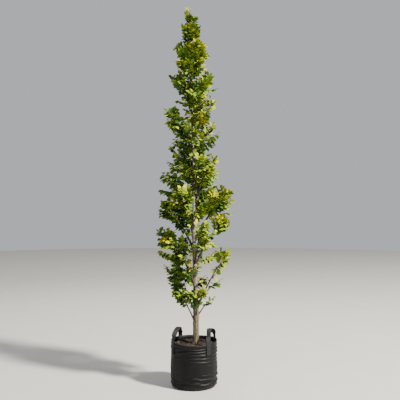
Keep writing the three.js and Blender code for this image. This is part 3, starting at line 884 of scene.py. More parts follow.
class Crown:
    def __init__(self):
        self.twigs = []
        self.leaves = [[] for name in tintNames]
        self.left = 0

    def addLeaf(self, own, node, along, across, swing, tint, draw, share=1.0):
        rule = leafRule
        facing = along.cross(across).normalized()
        outward = node - trunkAt(min(node.z, trunkShape["top"]))
        outward.z = 0
        outward.normalize()
        if facing.dot(outward) + facing.z < 0:
            facing = -facing
        facing = facing + outward * rule["outwards"] + along * draw.uniform(-1, 1) * rule["tilt"]
        facing = facing + across * draw.uniform(-1, 1) * rule["roll"]
        size = 1 + rule["sizeSpread"] * draw.uniform(-1, 1)
        angle = math.radians(swing * rule["angle"] + draw.uniform(-1, 1) * rule["angleSpread"])
        for attempt in range(rule["tries"]):
            drop = rule["tryLift"] * attempt - rule["droop"]
            direction = (along * math.cos(angle) + across * math.sin(angle) + up * drop).normalized()
            length = rule["length"] * size * share * (1 - rule["tryShrink"] * attempt)
            if any(hidesTrunk(node + direction * length * part) for part in trunkView["tried"]):
                continue
            if all(inCrown(node + direction * length * part, own) for part in (1, rule["middle"])):
                side = facing.cross(direction).normalized()
                form = draw.randrange(leafForms["count"])
                self.leaves[tint].append((node, side, direction, direction.cross(side), length, form))
                return
        self.left += 1

    def tintAlong(self, tint, share, draw):
        younger = draw.random() < tintRule["younger"] * share**2
        return min(tint + 1, len(tintNames) - 1) if younger else tint

    def addTwig(self, own, start, along, across, length, radius, tint, draw, finer=False):
        # A twig turns a little at each leaf and sags towards its end
        bare = leafRule["bareTwig"]
        count = max(2, round((length - bare) / leafRule["pitch"]))
        points = [start]
        for i in range(count + 1):
            share = (bare + (length - bare) * i / count) / length
            turn = crownRule["zigzag"] * (1 if i % 2 else -1)
            sag = crownRule["sag"] * length * share * share
            points.append(start + along * length * share + across * turn - up * sag)
        radii = [lerp(radius, crownRule["tipRadius"], i / (count + 1)) for i in range(count + 2)]
        self.twigs.append((points, radii))
        firstSwing = draw.choice((-1, 1))
        oldest = tint
        for i in range(count):
            node = points[i + 1]
            tint = self.tintAlong(oldest, i / count, draw)
            heading = (points[i + 2] - points[i + 1]).normalized()
            swing = firstSwing if i % 2 else -firstSwing
            left = length * (1 - (i + 0.5) / (count + 0.5))
            forks = finer and i % finerRule["every"] == finerRule["firstNode"] and left > finerRule["least"]
            if forks and self.addFinerTwig(own, node, heading, across, swing, left, tint, draw):
                continue
            size = lerp(*leafRule["sizes"], i / count)
            self.addLeaf(own, node, heading, across, swing, tint, draw, size)
        last = (points[-1] - points[-2]).normalized()
        tint = self.tintAlong(oldest, 1, draw)
        self.addLeaf(own, points[-1], last, across, 0, tint, draw, leafRule["lastSize"])

    def addFinerTwig(self, own, node, heading, across, swing, left, tint, draw):
        rule = finerRule
        angle = math.radians(rule["angle"] * swing * draw.uniform(*rule["angleSpread"]))
        along = (heading * math.cos(angle) + across * math.sin(angle) + up * rule["lift"]).normalized()
        length = max(rule["least"], left * rule["share"] * draw.uniform(*rule["lengthSpread"]))
        if not inCrown(node + along * length, own):
            return False
        flat = heading.cross(across).normalized().cross(along).normalized()
        if draw.random() < tintRule["other"]:
            tint = tintOf(node, rule["tintShare"], draw)
        self.addTwig(own, node, along, flat, length, crownRule["tipRadius"] * rule["stouter"], tint, draw)
        return True

    def addSpray(self, own, t, roll, fullLength, share, draw):
        feather = feathers[own]
        rule = crownRule
        start = limbPoint(feather, t)
        tangent = lineTangent(feather, t)
        length = fullLength * (1 + rule["lengthSpread"] * draw.uniform(-1, 1)) + rule["leafReach"]
        length = min(length, rule["taper"] * (feather["end"] - t) * feather["length"])
        if length < rule["leastSpray"]:
            return
        twist = draw.uniform(-1, 1) * rule["twist"]
        angle = math.radians(draw.uniform(*rule["angle"]))
        lift = up * draw.uniform(*rule["lift"])
        for attempt in range(rule["tries"]):
            outOf = acrossOf(tangent, roll + attempt * rule["tryTurn"])
            along = (tangent * math.cos(angle) + outOf * math.sin(angle) + lift).normalized()
            reach = length * (1 - rule["tryShrink"] * attempt)
            if inCrown(start + along * (reach + leafRule["length"] * rule["room"]), own):
                tint = tintOf(start + along * reach, share, draw)
                radius = min(rule["rootRadius"], limbRadius(feather, t) * rule["ofLimb"])
                finer = reach > finerRule["leastTwig"]
                self.addTwig(own, start, along, acrossOf(along, twist), reach, radius, tint, draw, finer)
                return
        self.left += 1

    def addStemLeaves(self, own, firstTwig, firstRoll, draw):
        feather = feathers[own]
        leafy = feather["length"] * (feather["end"] - firstTwig)
        count = max(3, round(leafy / leafRule["stemPitch"]))
        for i in range(count):
            share = (i + crownRule["firstOnStem"]) / count
            t = firstTwig + (feather["end"] - firstTwig) * share
            if i % 3 == 0:
                tint = tintOf(linePoint(feather, t), share, draw)
            along = lineTangent(feather, t)
            across = acrossOf(along, firstRoll + math.pi / 2 + spiral * i)
            if draw.random() < leafRule["onStem"] + fullnessAt(feather, t):
                self.addLeaf(own, limbPoint(feather, t), along, across, 1, tint, draw)

    def addTipLeaves(self, own, draw):
        # In pairs at the end of a feather, and in a spiral at the leader's
        feather = feathers[own]
        end = linePoint(feather, feather["end"])
        along = lineTangent(feather, feather["end"])
        flat = acrossOf(along, tipLeaves["roll"])
        tint = tintOf(end, tipLeaves["tintShare"], draw)
        leader = feather["name"] == "leader"
        rule = leaderLeaves if leader else tipLeaves
        if leader:
            tint = tintNames.index("gold")
        for i, (back, size) in enumerate(zip(rule["places"], rule["sizes"])):
            across = acrossOf(along, spiral * i) if leader else flat
            swing = rule["swing"] * (1 if leader or i % 2 else -1)
            older = tint if i > 1 else max(tint - 1, 0)
            self.addLeaf(own, end - along * back, along, across, swing, older, draw, size)
        self.addLeaf(own, end, along, flat, 0, tint, draw, leafRule["bestSize"])

    def growFeather(self, own):
        feather = feathers[own]
        rule = crownRule
        seed = rule["seed"] * (own + 1)
        stemDraw = random.Random(seed)
        firstOnTrunk = min(rule["firstShare"], rule["firstClear"] / feather["length"])
        firstTwig = feather["bare"] + rule["pastBough"] if feather["bare"] else firstOnTrunk
        leafy = feather["length"] * (1 - firstTwig)
        count = max(1, round(leafy / rule["pitch"]))
        fullLength = clamp(leafy * rule["lengthShare"], rule["shortest"], rule["longest"])
        firstRoll = sourceDraw(seed) * math.pi * 2
        self.addStemLeaves(own, firstTwig, firstRoll, stemDraw)
        self.addTipLeaves(own, stemDraw)
        for step in range(round(count * rule["finer"])):
            # Each spray has draws of its own, so that one left out changes no other
            draw = random.Random(seed + step + 1)
            i = step / rule["finer"]
            share = (i + rule["firstStep"]) / count
            t = firstTwig + (1 - firstTwig) * share
            roll = firstRoll + spiral * i
            full = fullnessAt(feather, t)
            length = fullLength * lerp(1, rule["tipShare"], share)
            if draw.random() < full:
                self.addSpray(own, t, roll, length, share, draw)
            if draw.random() < full - 1:
                self.addSpray(own, t, roll + math.pi, length, share, draw)


def trunkShoot(z, heading, length):
    # The feather in whose space a shoot grows, where it starts on the trunk, and the way it grows
    outward = outwardAt(heading)
    angle = math.radians(spurRule["angle"])
    along = outward * math.sin(angle) + up * math.cos(angle)
    start = trunkAt(z) + outward * trunkRadius(z) * spurRule["sunk"]
    return int(distancesToLines(start + along * length).argmin()), start, along


def growSpurs(crown):
    rule = spurRule
    draw = random.Random(crownRule["seed"])
    z = rule["lowest"]
    heading = 0
    while z < rule["highest"]:
        high = (z - rule["lowest"]) / (rule["highest"] - rule["lowest"])
        z += lerp(*rule["pitch"], high) * draw.uniform(*rule["pitchSpread"])
        heading += spiral
        length = draw.uniform(*rule["length"]) + rule["longerAbove"] * high**2
        length = min(length, rule["taper"] * (leaderShape["height"] - z))
        own, start, along = trunkShoot(z, heading, length)
        tint = tintOf(start, rule["tintShare"], draw)
        across = acrossOf(along, draw.uniform(-rule["twist"], rule["twist"]))
        crown.addTwig(own, start, along, across, length, rule["radius"], tint, draw)


def growYoungShoots(crown):
    draw = random.Random(crownRule["seed"] + 1)
    for z, heading, length, tint in youngShoots:
        own, start, along = trunkShoot(z, math.radians(heading), length)
        across = acrossOf(along, spurRule["youngTwist"])
        crown.addTwig(own, start, along, across, length, spurRule["radius"], tint, draw, finer=True)


def twigMesh(twigs):
    curve = bpy.data.curves.new("twigLines", "CURVE")
    curve.dimensions = "3D"
    curve.bevel_depth = 1.0
    curve.bevel_resolution = 0
    curve.use_fill_caps = True
    for points, radii in twigs:
        spline = curve.splines.new("POLY")
        spline.points.add(len(points) - 1)
        for target, point, radius in zip(spline.points, points, radii):
            target.co = (*point, 1)
            target.radius = radius
    carrier = placeObject("twigLines", curve)
    depsgraph = bpy.context.evaluated_depsgraph_get()
    mesh = bpy.data.meshes.new_from_object(carrier.evaluated_get(depsgraph))
    bpy.data.objects.remove(carrier)
    bpy.data.curves.remove(curve)
    youth = mesh.attributes.new("youth", "FLOAT", "POINT")
    youth.data.foreach_set("value", [1.0] * len(mesh.vertices))
    return mesh


def leafForm(draw):
    # A grid drawn in to the leaf's outline, folded along its middle and arched towards its tip
    rule = leafForms
    bm = bmesh.new()
    last = len(rule["rows"]) - 1
    bmesh.ops.create_grid(bm, x_segments=2, y_segments=last, size=0.5)
    fold = draw.uniform(*rule["fold"])
    arch = draw.uniform(*rule["arch"])
    sideways = draw.uniform(-1, 1) * rule["bendSideways"]
    ratio = leafRule["width"] / leafRule["length"]
    uvs = []
    for vert in bm.verts:
        column, row = round(vert.co.x * 2), round((vert.co.y + 0.5) * last)
        along, half = rule["rows"][row], rule["halves"][row]
        across = column * half * ratio
        blade = max(0.0, along - rule["stalk"])
        wave = rule["wave"] * half * 2 * draw.uniform(-1, 1) * abs(column)
        height = abs(across) * fold - arch * blade**2 + wave
        vert.co = Vector((across + sideways * blade**2, along, height))
        uvs.append((0.5 + column * half, along))
    coords = np.array([vert.co for vert in bm.verts])
    faces = np.array([[vert.index for vert in face.verts] for face in bm.faces])
    bm.free()
    return coords, faces, np.array(uvs)


def leavesMesh(name, leaves, forms):
    coords, faces, uvs = [], [], []
    count = 0
    for node, side, along, face, length, form in leaves:
        shape, corners, uv = forms[form]
        coords.append(shape @ (np.array([side, along, face]) * length) + np.array(node))
        faces.append(corners + count)
        uvs.append(uv[corners.ravel()])
        count += len(shape)
    mesh = bpy.data.meshes.new(name)
    mesh.from_pydata(np.concatenate(coords).tolist(), [], np.concatenate(faces).tolist())
    layer = mesh.uv_layers.new(name="leafMap")
    layer.data.foreach_set("uv", np.concatenate(uvs).ravel())
    return mesh


leafColours = {
    # Plain tints, dealt out by spray: blade, vein and the darker patches between
    "deep": ((0.062, 0.138, 0.022, 1), (0.105, 0.20, 0.030, 1), (0.029, 0.078, 0.010, 1)),
    "mid": ((0.176, 0.244, 0.026, 1), (0.240, 0.31, 0.036, 1), (0.105, 0.162, 0.016, 1)),
    "fresh": ((0.300, 0.340, 0.014, 1), (0.355, 0.39, 0.020, 1), (0.215, 0.265, 0.009, 1)),
    "gold": ((0.42, 0.395, 0.010, 1), (0.46, 0.43, 0.014, 1), (0.36, 0.34, 0.006, 1)),
}


def leafFinish(name):
    blade, vein, shade = leafColours[name]
    paint = Finish(name + "Leaf")
    across, along = paint.ownMap("leafMap")
    offMiddle = paint.math("ABSOLUTE", paint.minus(across, 0.5))
    slanted = paint.minus(along, paint.times(offMiddle, 0.55))
    ribs = paint.ramp(paint.math("ABSOLUTE", paint.waves(slanted, 34.0)), (0.06, 0.7), (0.3, 0.0))
    veins = paint.math("MAXIMUM", paint.ramp(offMiddle, (0.012, 1.0), (0.035, 0.0)), ribs)
    mottle = paint.ramp(paint.noise(17.0, 2.0), (0.38, 0.0), (0.62, 0.85))
    colour = paint.blend(paint.times(veins, 0.6), paint.blend(mottle, blade, shade), vein)
    roughness = paint.ramp(mottle, (0.0, 0.68), (0.8, 0.8))
    return paint.done(colour, roughness, (paint.minus(1.0, veins), 0.0007, 0.6), 0.06)


crown = Crown()
for own in range(len(feathers)):
    crown.growFeather(own)
growSpurs(crown)
growYoungShoots(crown)
leafTotal = sum(len(kind) for kind in crown.leaves)
print("crown grown:", len(crown.twigs), "twigs,", leafTotal, "leaves,", crown.left, "left out")

formDraw = random.Random(leafForms["seed"])
forms = [leafForm(formDraw) for i in range(leafForms["count"])]
slotsOfNodes = {part["node"]: part["material_slot"] for part in frame["record"]["subparts"]}
addPiece("twigs", twigMesh(crown.twigs), shootWood, "bark", *foliageNodes)
for name, leaves in zip(tintNames, crown.leaves):
    slot = "deep_leaf" if name in ("deep", "mid") else "fresh_leaf"
    stoodFor = [node for node in foliageNodes if slotsOfNodes[node] == slot]
    mesh = leavesMesh(name + "Leaves", leaves, forms)
    addPiece(mesh.name, mesh, leafFinish(name), slot, *stoodFor)
    print(name, "leaves:", len(leaves))


# Bag: a wall spun from its profile, then creased, slumped and sagged at its rim

bagShape = {
    "height": 0.360,
    "rimRadius": 0.180,
    "bellyRadius": 0.186,
    "bellyHeight": 0.150,
    "footRadius": 0.178,
    "footRound": 0.020,
    "footSteps": 8,
    "wall": 0.004,
    "floor": 0.005,
    "around": 264,
    "wallCuts": 118,
    "hem": 0.027,
    "hemStep": 0.0011,
    "hemEdge": 0.0006,
    "rimRound": 0.0015,
    "insideRows": (0.30, 0.25, 0.15, 0.03),
    "flatRadius": 0.1,
    "onWall": 0.0005,  # a point this close to the wall is on it
}
# How the cloth hangs. Foot, Top, Rim and Edge are where something sets in and where it is full.
clothShape = {
    "farthestOut": 0.0065,
    "farthestIn": 0.0056,  # so that the compost never shows through
    "lump": 0.0022,
    "lumpGrain": (1.3, 6),
    "ripple": 0.0034,
    "ripplePitch": 0.031,
    "rippleWander": 1.3,  # in pitches
    "wanderGrain": (1.2, 3),
    "weakest": 0.75,  # share of the ripple that is everywhere
    "weakGrain": (1.7, 6),
    "weakFrom": 5,  # so that this noise isn't the lumps'
    "weakRange": (-0.3, 0.3),
    "looseFoot": (0, 0.02),
    "tight": 0.75,  # at the rim
    "tightRim": (0.30, 0.345),
    "tailEdge": (0.10, 0.20),  # angles off a loop's tail, which holds the cloth flat
    "tailFoot": (0.235, 0.265),
    "heel": 0.006,
    "heelTurn": math.radians(-35),
    "heelFoot": (0.004, 0.05),
    "heelTop": (0.07, 0.2),
    "rimSag": 0.007,
    "rimRipple": (0.75, 0.8),
    "rimFrom": 3,
    "rimGrain": 2.3,
    "frontSag": 0.009,
    "sagFoot": (0.27, 0.36),
}
creaseShape = {
    "count": 130,
    "seed": 417,
    "lowPower": 1.15,  # more creases stand low
    "rimDepth": 0.55,
    "steepness": 2.2,
    "depth": (0.0020, 0.0060),
    "width": (0.0075, 0.0140),
    "halfLength": (0.12, 0.42),
    "slope": 0.045,
    "arch": 0.06,
    "lowest": 0.018,
    "highest": 0.318,
}
strapShape = {
    "width": 0.038,
    "thickness": 0.0034,
    "tail": 0.096,
    "straight": 0.014,
    "rise": 0.092,
    "lean": 0.056,
    "halfAngle": math.radians(3 * 360 / 28),
    "turned": math.radians(360 / 28),  # the right loop forwards, the left one back
    "twistedBy": 0.45,  # share of the arch
    "offRimBy": 0.15,
    "leanPower": 1.5,
    "steps": 30,
    "tailSteps": 16,
    "across": 14,
    "offWall": 0.0004,
    "curl": 0.0022,
    "hemFoot": (0.325, 0.337),  # where a tail climbs onto the hem
}
strapMiddles = (-strapShape["turned"], math.pi - strapShape["turned"])
tailAngles = [middle + leg * strapShape["halfAngle"] for middle in strapMiddles for leg in (-1, 1)]


def bagRadius(z):
    bag = bagShape
    if z < bag["footRound"]:
        down = 1 - max(0.0, z) / bag["footRound"]
        return bag["footRadius"] - bag["footRound"] * (1 - math.sqrt(1 - down * down))
    if z < bag["bellyHeight"]:
        share = (z - bag["footRound"]) / (bag["bellyHeight"] - bag["footRound"])
        return lerp(bag["footRadius"], bag["bellyRadius"], math.sin(share * math.pi / 2))
    share = (z - bag["bellyHeight"]) / (bag["height"] - bag["bellyHeight"])
    return lerp(bag["bellyRadius"], bag["rimRadius"], smoothStep(share, 0, 1))


def wrapAngle(angle):
    return (angle + math.pi) % (2 * math.pi) - math.pi


def makeCreases():
    # Rows of angle, height, depth, width, half length, slope and arch
    rule = creaseShape
    draw = random.Random(rule["seed"])
    made = []
    for i in range(rule["count"]):
        z = lerp(rule["lowest"], rule["highest"], draw.random() ** rule["lowPower"])
        angle = draw.uniform(-math.pi, math.pi)
        depth, width, length = (draw.uniform(*rule[name]) for name in ("depth", "width", "halfLength"))
        depth *= lerp(1, rule["rimDepth"], z / bagShape["height"])
        slope, arch = (draw.uniform(-1, 1) * rule[name] for name in ("slope", "arch"))
        made.append((angle, z, depth, width, length, slope, arch))
    return np.array(made)


creases = makeCreases()


def creaseAt(angle, z):
    # A fold stands out above its line and is drawn in below it
    angles, heights, depths, widths, lengths, slopes, arches = creases.T
    off = wrapAngle(angle - angles)
    across = (z - (heights + slopes * off + arches * off**2)) / widths
    along = np.exp(-((off / lengths) ** 2))
    return float((depths * along * across * np.exp(-(across**2)) * creaseShape["steepness"]).sum())


def nearTail(angle, z):
    off = min(abs(wrapAngle(angle - tail)) for tail in tailAngles)
    return (1 - smoothStep(off, *clothShape["tailEdge"])) * smoothStep(z, *clothShape["tailFoot"])


def bagSlump(angle, z):
    # How far the wall stands off its plain radius
    cloth = clothShape
    around = outwardAt(angle)
    lump = grainAt(around, z, *cloth["lumpGrain"]) * cloth["lump"]
    wander = grainAt(around, z, *cloth["wanderGrain"]) * cloth["rippleWander"]
    wide, tall = cloth["weakGrain"]
    weak = noise.noise(around * wide + up * (cloth["weakFrom"] + z * tall))
    wave = math.sin((z / cloth["ripplePitch"] + wander) * 2 * math.pi)
    lump += wave * cloth["ripple"] * lerp(cloth["weakest"], 1, smoothStep(weak, *cloth["weakRange"]))
    hem = bagShape["hemStep"] if z > bagShape["height"] - bagShape["hem"] else 0
    heel = smoothStep(z, *cloth["heelFoot"]) * (1 - smoothStep(z, *cloth["heelTop"]))
    heel *= cloth["heel"] * (0.5 + 0.5 * math.cos(angle - cloth["heelTurn"]))
    loose = 1 - cloth["tight"] * smoothStep(z, *cloth["tightRim"])
    loose *= smoothStep(z, *cloth["looseFoot"]) * (1 - nearTail(angle, z))
    soft = (creaseAt(angle, z) + lump) * loose
    limit = cloth["farthestOut" if soft > 0 else "farthestIn"]
    return limit * math.tanh(soft / limit) + hem + heel


def rimSag(angle):
    cloth = clothShape
    between = 1 - max(math.cos(angle - middle) for middle in strapMiddles)
    least, more = cloth["rimRipple"]
    ripple = noise.noise((outwardAt(angle) + up * cloth["rimFrom"]) * cloth["rimGrain"])
    sag = cloth["rimSag"] * between * (least + more * ripple)
    return -sag - cloth["frontSag"] * max(0.0, -math.sin(angle)) ** 2


def onBag(angle, z, off=0.0):
    # A point on the bag's outer face, or off it
    radius = bagRadius(z) + bagSlump(angle, z) + off
    high = z + rimSag(angle) * smoothStep(z, *clothShape["sagFoot"])
    return Vector((math.cos(angle) * radius, math.sin(angle) * radius, high))


def bagProfile():
    # From the middle of the underside up the wall, over the rim and down to the middle of the floor
    bag = bagShape
    height = bag["height"]
    hemLine = height - bag["hem"]
    turns = [step / bag["footSteps"] * math.pi / 2 for step in range(bag["footSteps"] + 1)]
    foot = [bag["footRound"] * (1 - math.cos(turn)) for turn in turns]
    top = [hemLine - bag["hemEdge"], hemLine + bag["hemEdge"], height - bag["rimRound"]]
    outside = [(bagRadius(z), z) for z in foot + top]
    inside = [(bagRadius(z) - bag["wall"], z) for z in (top[-1], hemLine, *bag["insideRows"])]
    rim = (bagRadius(height) - bag["wall"] / 2, height)
    floor = [(bag["footRadius"] - bag["footRound"], bag["floor"]), (0, bag["floor"])]
    return [(0, 0), (bagRadius(0) / 2, 0), *outside, rim, *inside, *floor]


def makeBag(finish):
    bag = bagShape
    bm = bmesh.new()
    edges = drawProfile(bm, bagProfile())
    # The wall is the edge above the two points of the underside and the rounded foot
    bmesh.ops.subdivide_edges(bm, edges=[edges[2 + bag["footSteps"]]], cuts=bag["wallCuts"])
    spinProfile(bm, bag["around"])
    clothMap = bm.loops.layers.uv.new("clothMap")
    for face in bm.faces:
        seam = max(angleOf(loop.vert.co) for loop in face.loops)
        for loop in face.loops:
            x, y, z = loop.vert.co
            angle = angleOf(loop.vert.co)
            angle += 2 * math.pi if seam - angle > math.pi else 0
            inward = math.hypot(x, y) if z < bag["floor"] + 0.001 else 0
            loop[clothMap].uv = (angle * bag["bellyRadius"], z + inward)
    for vert in bm.verts:
        z = vert.co.z
        plain = bagRadius(z)
        radius = min(math.hypot(vert.co.x, vert.co.y), plain)
        if z < 1e-6 or radius < bag["flatRadius"]:
            continue
        if z > bag["footRound"] and radius > plain - bag["onWall"]:
            radius = plain
        vert.co = onBag(angleOf(vert.co), z, radius - plain)
    addPiece("plantingBag", meshOf("plantingBag", bm), finish, "bag", "bag")


def fabricFinish():
    paint = Finish("blackPlantingFabric")
    fuzz = paint.noise(260.0, 5.0, 0.65)
    weave = paint.times(*(paint.waves(place, 2600.0) for place in paint.ownMap("clothMap")))
    colour = paint.ramp(fuzz, (0.3, (0.002, 0.002, 0.0023, 1)), (0.75, (0.005, 0.005, 0.0056, 1)))
    dust = paint.ramp(paint.noise(14.0, 4.0, 0.6), (0.5, 0.0), (0.78, 0.35))
    colour = paint.blend(dust, colour, (0.008, 0.0078, 0.0074, 1))
    low = paint.ramp(paint.height(), (0.0, 0.5), (0.035, 0.0))
    colour = paint.blend(paint.times(low, fuzz), colour, (0.05, 0.043, 0.034, 1))
    roughness = paint.ramp(fuzz, (0.25, 0.56), (0.8, 0.42))
    return paint.done(colour, roughness, (paint.plus(paint.times(weave, 0.22), fuzz), 0.0009, 0.55), 0.16)


makeBag(fabricFinish())
print("bag made")


# Carrying loops: webbing sewn to the wall, that stands up past the rim and twists to arch over the hand


def ringWays(angle):
    # The way out from the bag's middle, and the way round it
    outward = outwardAt(angle)
    return outward, up.cross(outward)


def strapRows(middle):
    strap = strapShape
    legTop = bagShape["height"] + strap["straight"]
    rimReach = bagShape["rimRadius"] + strap["offWall"] + strap["thickness"] / 2

    def tailRow(leg, share):
        angle = middle + leg * strap["halfAngle"]
        z = lerp(bagShape["height"] - strap["tail"], legTop, share)
        return {"angle": angle, "z": z, "facing": outwardAt(angle), "wrap": 1.0, "reach": None}

    def archRow(leg, share):
        turn = share * math.pi / 2
        angle = middle + leg * strap["halfAngle"] * math.cos(turn)
        reach = rimReach - strap["lean"] * math.sin(turn) ** strap["leanPower"]
        z = legTop + (strap["rise"] - strap["straight"]) * math.sin(turn)
        outward, around = ringWays(angle)
        away = around * leg * math.cos(turn) + up * math.sin(turn)
        facing = outward.lerp(away, smoothStep(share, 0, strap["twistedBy"])).normalized()
        wrap = 1 - smoothStep(share, 0, strap["offRimBy"])
        return {"angle": angle, "z": z, "facing": facing, "wrap": wrap, "reach": reach}

    def half(leg):
        tail = [tailRow(leg, i / strap["tailSteps"]) for i in range(strap["tailSteps"] + 1)]
        return tail + [archRow(leg, (i + 1) / strap["steps"]) for i in range(strap["steps"])]

    return half(-1) + half(1)[-2::-1]


def hemUnderTail(z):
    return bagShape["hemStep"] * (1 - smoothStep(z, *strapShape["hemFoot"]))


def rowPoint(row, across):
    # A point of the strap's middle layer, this far across from its centre line
    strap = strapShape
    outward, around = ringWays(row["angle"])
    if row["reach"] is None:
        z = min(row["z"], bagShape["height"])
        turned = row["angle"] + across / bagShape["rimRadius"]
        point = onBag(turned, z, strap["offWall"] + strap["thickness"] / 2 + hemUnderTail(z))
        return point + up * max(0.0, row["z"] - z)
    centre = outward * row["reach"]
    centre.z = row["z"] + rimSag(row["angle"]) * row["wrap"]
    return centre + around * across


def makeStrap(name, middle, finish, node):
    strap = strapShape
    rows = strapRows(middle)
    last = len(rows) - 1
    centres = [rowPoint(row, 0) for row in rows]
    lengths = [0.0]
    for first, second in zip(centres, centres[1:]):
        lengths.append(lengths[-1] + (second - first).length)
    bm = bmesh.new()
    bmesh.ops.create_grid(bm, x_segments=strap["across"], y_segments=last, size=0.5)
    webMap = bm.loops.layers.uv.new("webMap")
    for face in bm.faces:
        for loop in face.loops:
            row = round((loop.vert.co.y + 0.5) * last)
            loop[webMap].uv = (loop.vert.co.x * strap["width"], lengths[row])
    for vert in bm.verts:
        index = round((vert.co.y + 0.5) * last)
        row = rows[index]
        offset = vert.co.x * strap["width"]
        tangent = (centres[min(index + 1, last)] - centres[max(index - 1, 0)]).normalized()
        across = row["facing"].cross(tangent).normalized()
        flatPoint = centres[index] + across * offset
        wrapped = rowPoint(row, offset * (1 if across.dot(ringWays(row["angle"])[1]) > 0 else -1))
        curl = strap["curl"] * (2 * vert.co.x) ** 2 * math.sin(math.pi * index / last)
        vert.co = flatPoint.lerp(wrapped, row["wrap"]) - row["facing"] * curl * (1 - row["wrap"])
    bmesh.ops.recalc_face_normals(bm, faces=bm.faces)
    if sum(face.normal.xy.dot(face.calc_center_median().xy) for face in bm.faces) < 0:
        bmesh.ops.reverse_faces(bm, faces=bm.faces)
    bmesh.ops.solidify(bm, geom=bm.faces[:], thickness=strap["thickness"])
    addPiece(name, meshOf(name, bm), finish, "webbing", node)


def webbingFinish():
    paint = Finish("ribbedWebbing")
    across, along = paint.ownMap("webMap")
    ribs, picks = paint.waves(across, 2300.0), paint.waves(along, 3400.0)
    weave = paint.plus(paint.times(ribs, 0.6), paint.times(picks, 0.4))
    fuzz = paint.noise(320.0, 4.0, 0.6)
    mixed = paint.plus(paint.times(weave, 0.25), fuzz)
    colour = paint.ramp(mixed, (0.25, (0.004, 0.0042, 0.005, 1)), (0.85, (0.020, 0.021, 0.024, 1)))
    roughness = paint.ramp(fuzz, (0.25, 0.62), (0.8, 0.45))
    return paint.done(colour, roughness, (paint.plus(weave, fuzz), 0.0006, 0.7), 0.18)


webbing = webbingFinish()
for name, middle, node in zip(("loopRight", "loopLeft"), strapMiddles, ("handle_right", "handle_left")):
    makeStrap(name, middle, webbing, node)
print("loops made")


# Stitching: two rows round the hem, and a crossed box on each of the four tails

stitchShape = {
    "length": 0.0058,
    "gap": 0.0026,
    "thick": 0.00055,
    "hemRows": (0.0035, 0.0235),  # below the rim
    "hemRuns": 40,
    "clearOfTail": 0.16,
    "box": (0.028, 0.066),
    "boxTop": 0.008,
}


def addStitch(bm, start, end, outward):
    made = bmesh.ops.create_icosphere(bm, subdivisions=1, radius=1)
    along = (end - start).normalized()
    side = outward.cross(along).normalized()
    face = along.cross(side)
    middle = (start + end) / 2
    half = (end - start).length / 2
    for vert in made["verts"]:
        local = vert.co.copy()
        vert.co = middle + along * local.x * half + (side * local.y + face * local.z) * stitchShape["thick"]


def stitchAlong(bm, first, last, place):
    # A run of stitches between two corners, given by place(corner) as a point and the way out
    run = (place(last)[0] - place(first)[0]).length
    pitch = stitchShape["length"] + stitchShape["gap"]
    count = max(1, round(run / pitch))
    for i in range(count):
        parts = [(i + part) / count for part in (0, stitchShape["length"] / pitch)]
        ends = [place(tuple(lerp(a, b, part) for a, b in zip(first, last))) for part in parts]
        addStitch(bm, ends[0][0], ends[1][0], ends[0][1])


def makeStitching(finish):
    rule = stitchShape
    bm = bmesh.new()
    lift = rule["thick"] * 0.5

    def onWall(corner):
        angle, z = corner
        return onBag(angle, z, lift), outwardAt(angle)

    corners = [i * 2 * math.pi / rule["hemRuns"] for i in range(rule["hemRuns"] + 1)]
    for below in rule["hemRows"]:
        z = bagShape["height"] - below
        for first, last in zip(corners, corners[1:]):
            middle = (first + last) / 2
            if min(abs(wrapAngle(middle - tail)) for tail in tailAngles) > rule["clearOfTail"]:
                stitchAlong(bm, (first, z), (last, z), onWall)
    half, height = rule["box"][0] / 2, rule["box"][1]
    top = bagShape["height"] - rule["boxTop"]
    box = [(-half, top), (half, top), (half, top - height), (-half, top - height)]
    for tail in tailAngles:

        def onTail(corner):
            across, z = corner
            angle = tail + across / bagShape["rimRadius"]
            off = strapShape["offWall"] + strapShape["thickness"] + lift + hemUnderTail(z)
            return onBag(angle, z, off), outwardAt(angle)

        for first, last in ((0, 1), (1, 2), (2, 3), (3, 0), (0, 2), (1, 3)):
            stitchAlong(bm, box[first], box[last], onTail)
    addPiece("stitching", meshOf("stitching", bm), finish, "webbing")


def threadFinish():
    paint = Finish("blackThread")
    twist = paint.noise((900, 900, 900), 2.0)
    colour = paint.ramp(twist, (0.3, (0.02, 0.02, 0.022, 1)), (0.7, (0.055, 0.055, 0.06, 1)))
    return paint.done(colour, 0.5, (twist, 0.0002, 0.5))


makeStitching(threadFinish())
print("stitching made")


# Compost: a crumbly mound in the bag, and the chips of bark that lie on it

compostShape = {
    "top": 0.324,
    "mound": 0.009,
    "edgeDrop": 0.0045,
    "dishRadius": 0.070,
    "moundEdge": 0.176,
    "intoWall": 0.0006,
    "bottom": 0.0053,
    "bottomShare": 0.9,
    "sideRows": (0.308, 0.27, 0.15, 0.03),
    "inset": 0.0055,
    "around": 180,
    "rows": 46,
    "crumbs": ((0.0022, 160), (0.0034, 48)),  # height, and how fine
}
chipShape = {
    "count": 620,
    "length": (0.005, 0.019),
    "flat": (0.25, 0.5),
    "narrow": (0.35, 0.75),
    "seed": 88,
    "farthest": 0.168,
    "clearOfTrunk": 0.03,
    "tilt": (0.5, 0.4),
    "jitter": 0.22,
}


def compostEdge(angle):
    z = compostShape["top"] - compostShape["edgeDrop"]
    return bagRadius(z) - bagShape["wall"] + bagSlump(angle, z) + compostShape["intoWall"]


def compostHeight(x, y):
    rule = compostShape
    radius = math.hypot(x, y)
    ring = (rule["dishRadius"] + rule["moundEdge"]) / 2
    if radius < ring:
        rise = rule["mound"] * smoothStep(radius, rule["dishRadius"], ring)
    else:
        rise = lerp(rule["mound"], -rule["edgeDrop"], smoothStep(radius, ring, rule["moundEdge"]))
    place = Vector((x, y, 0))
    return rule["top"] + rise + sum(noise.noise(place * fine) * size for size, fine in rule["crumbs"])


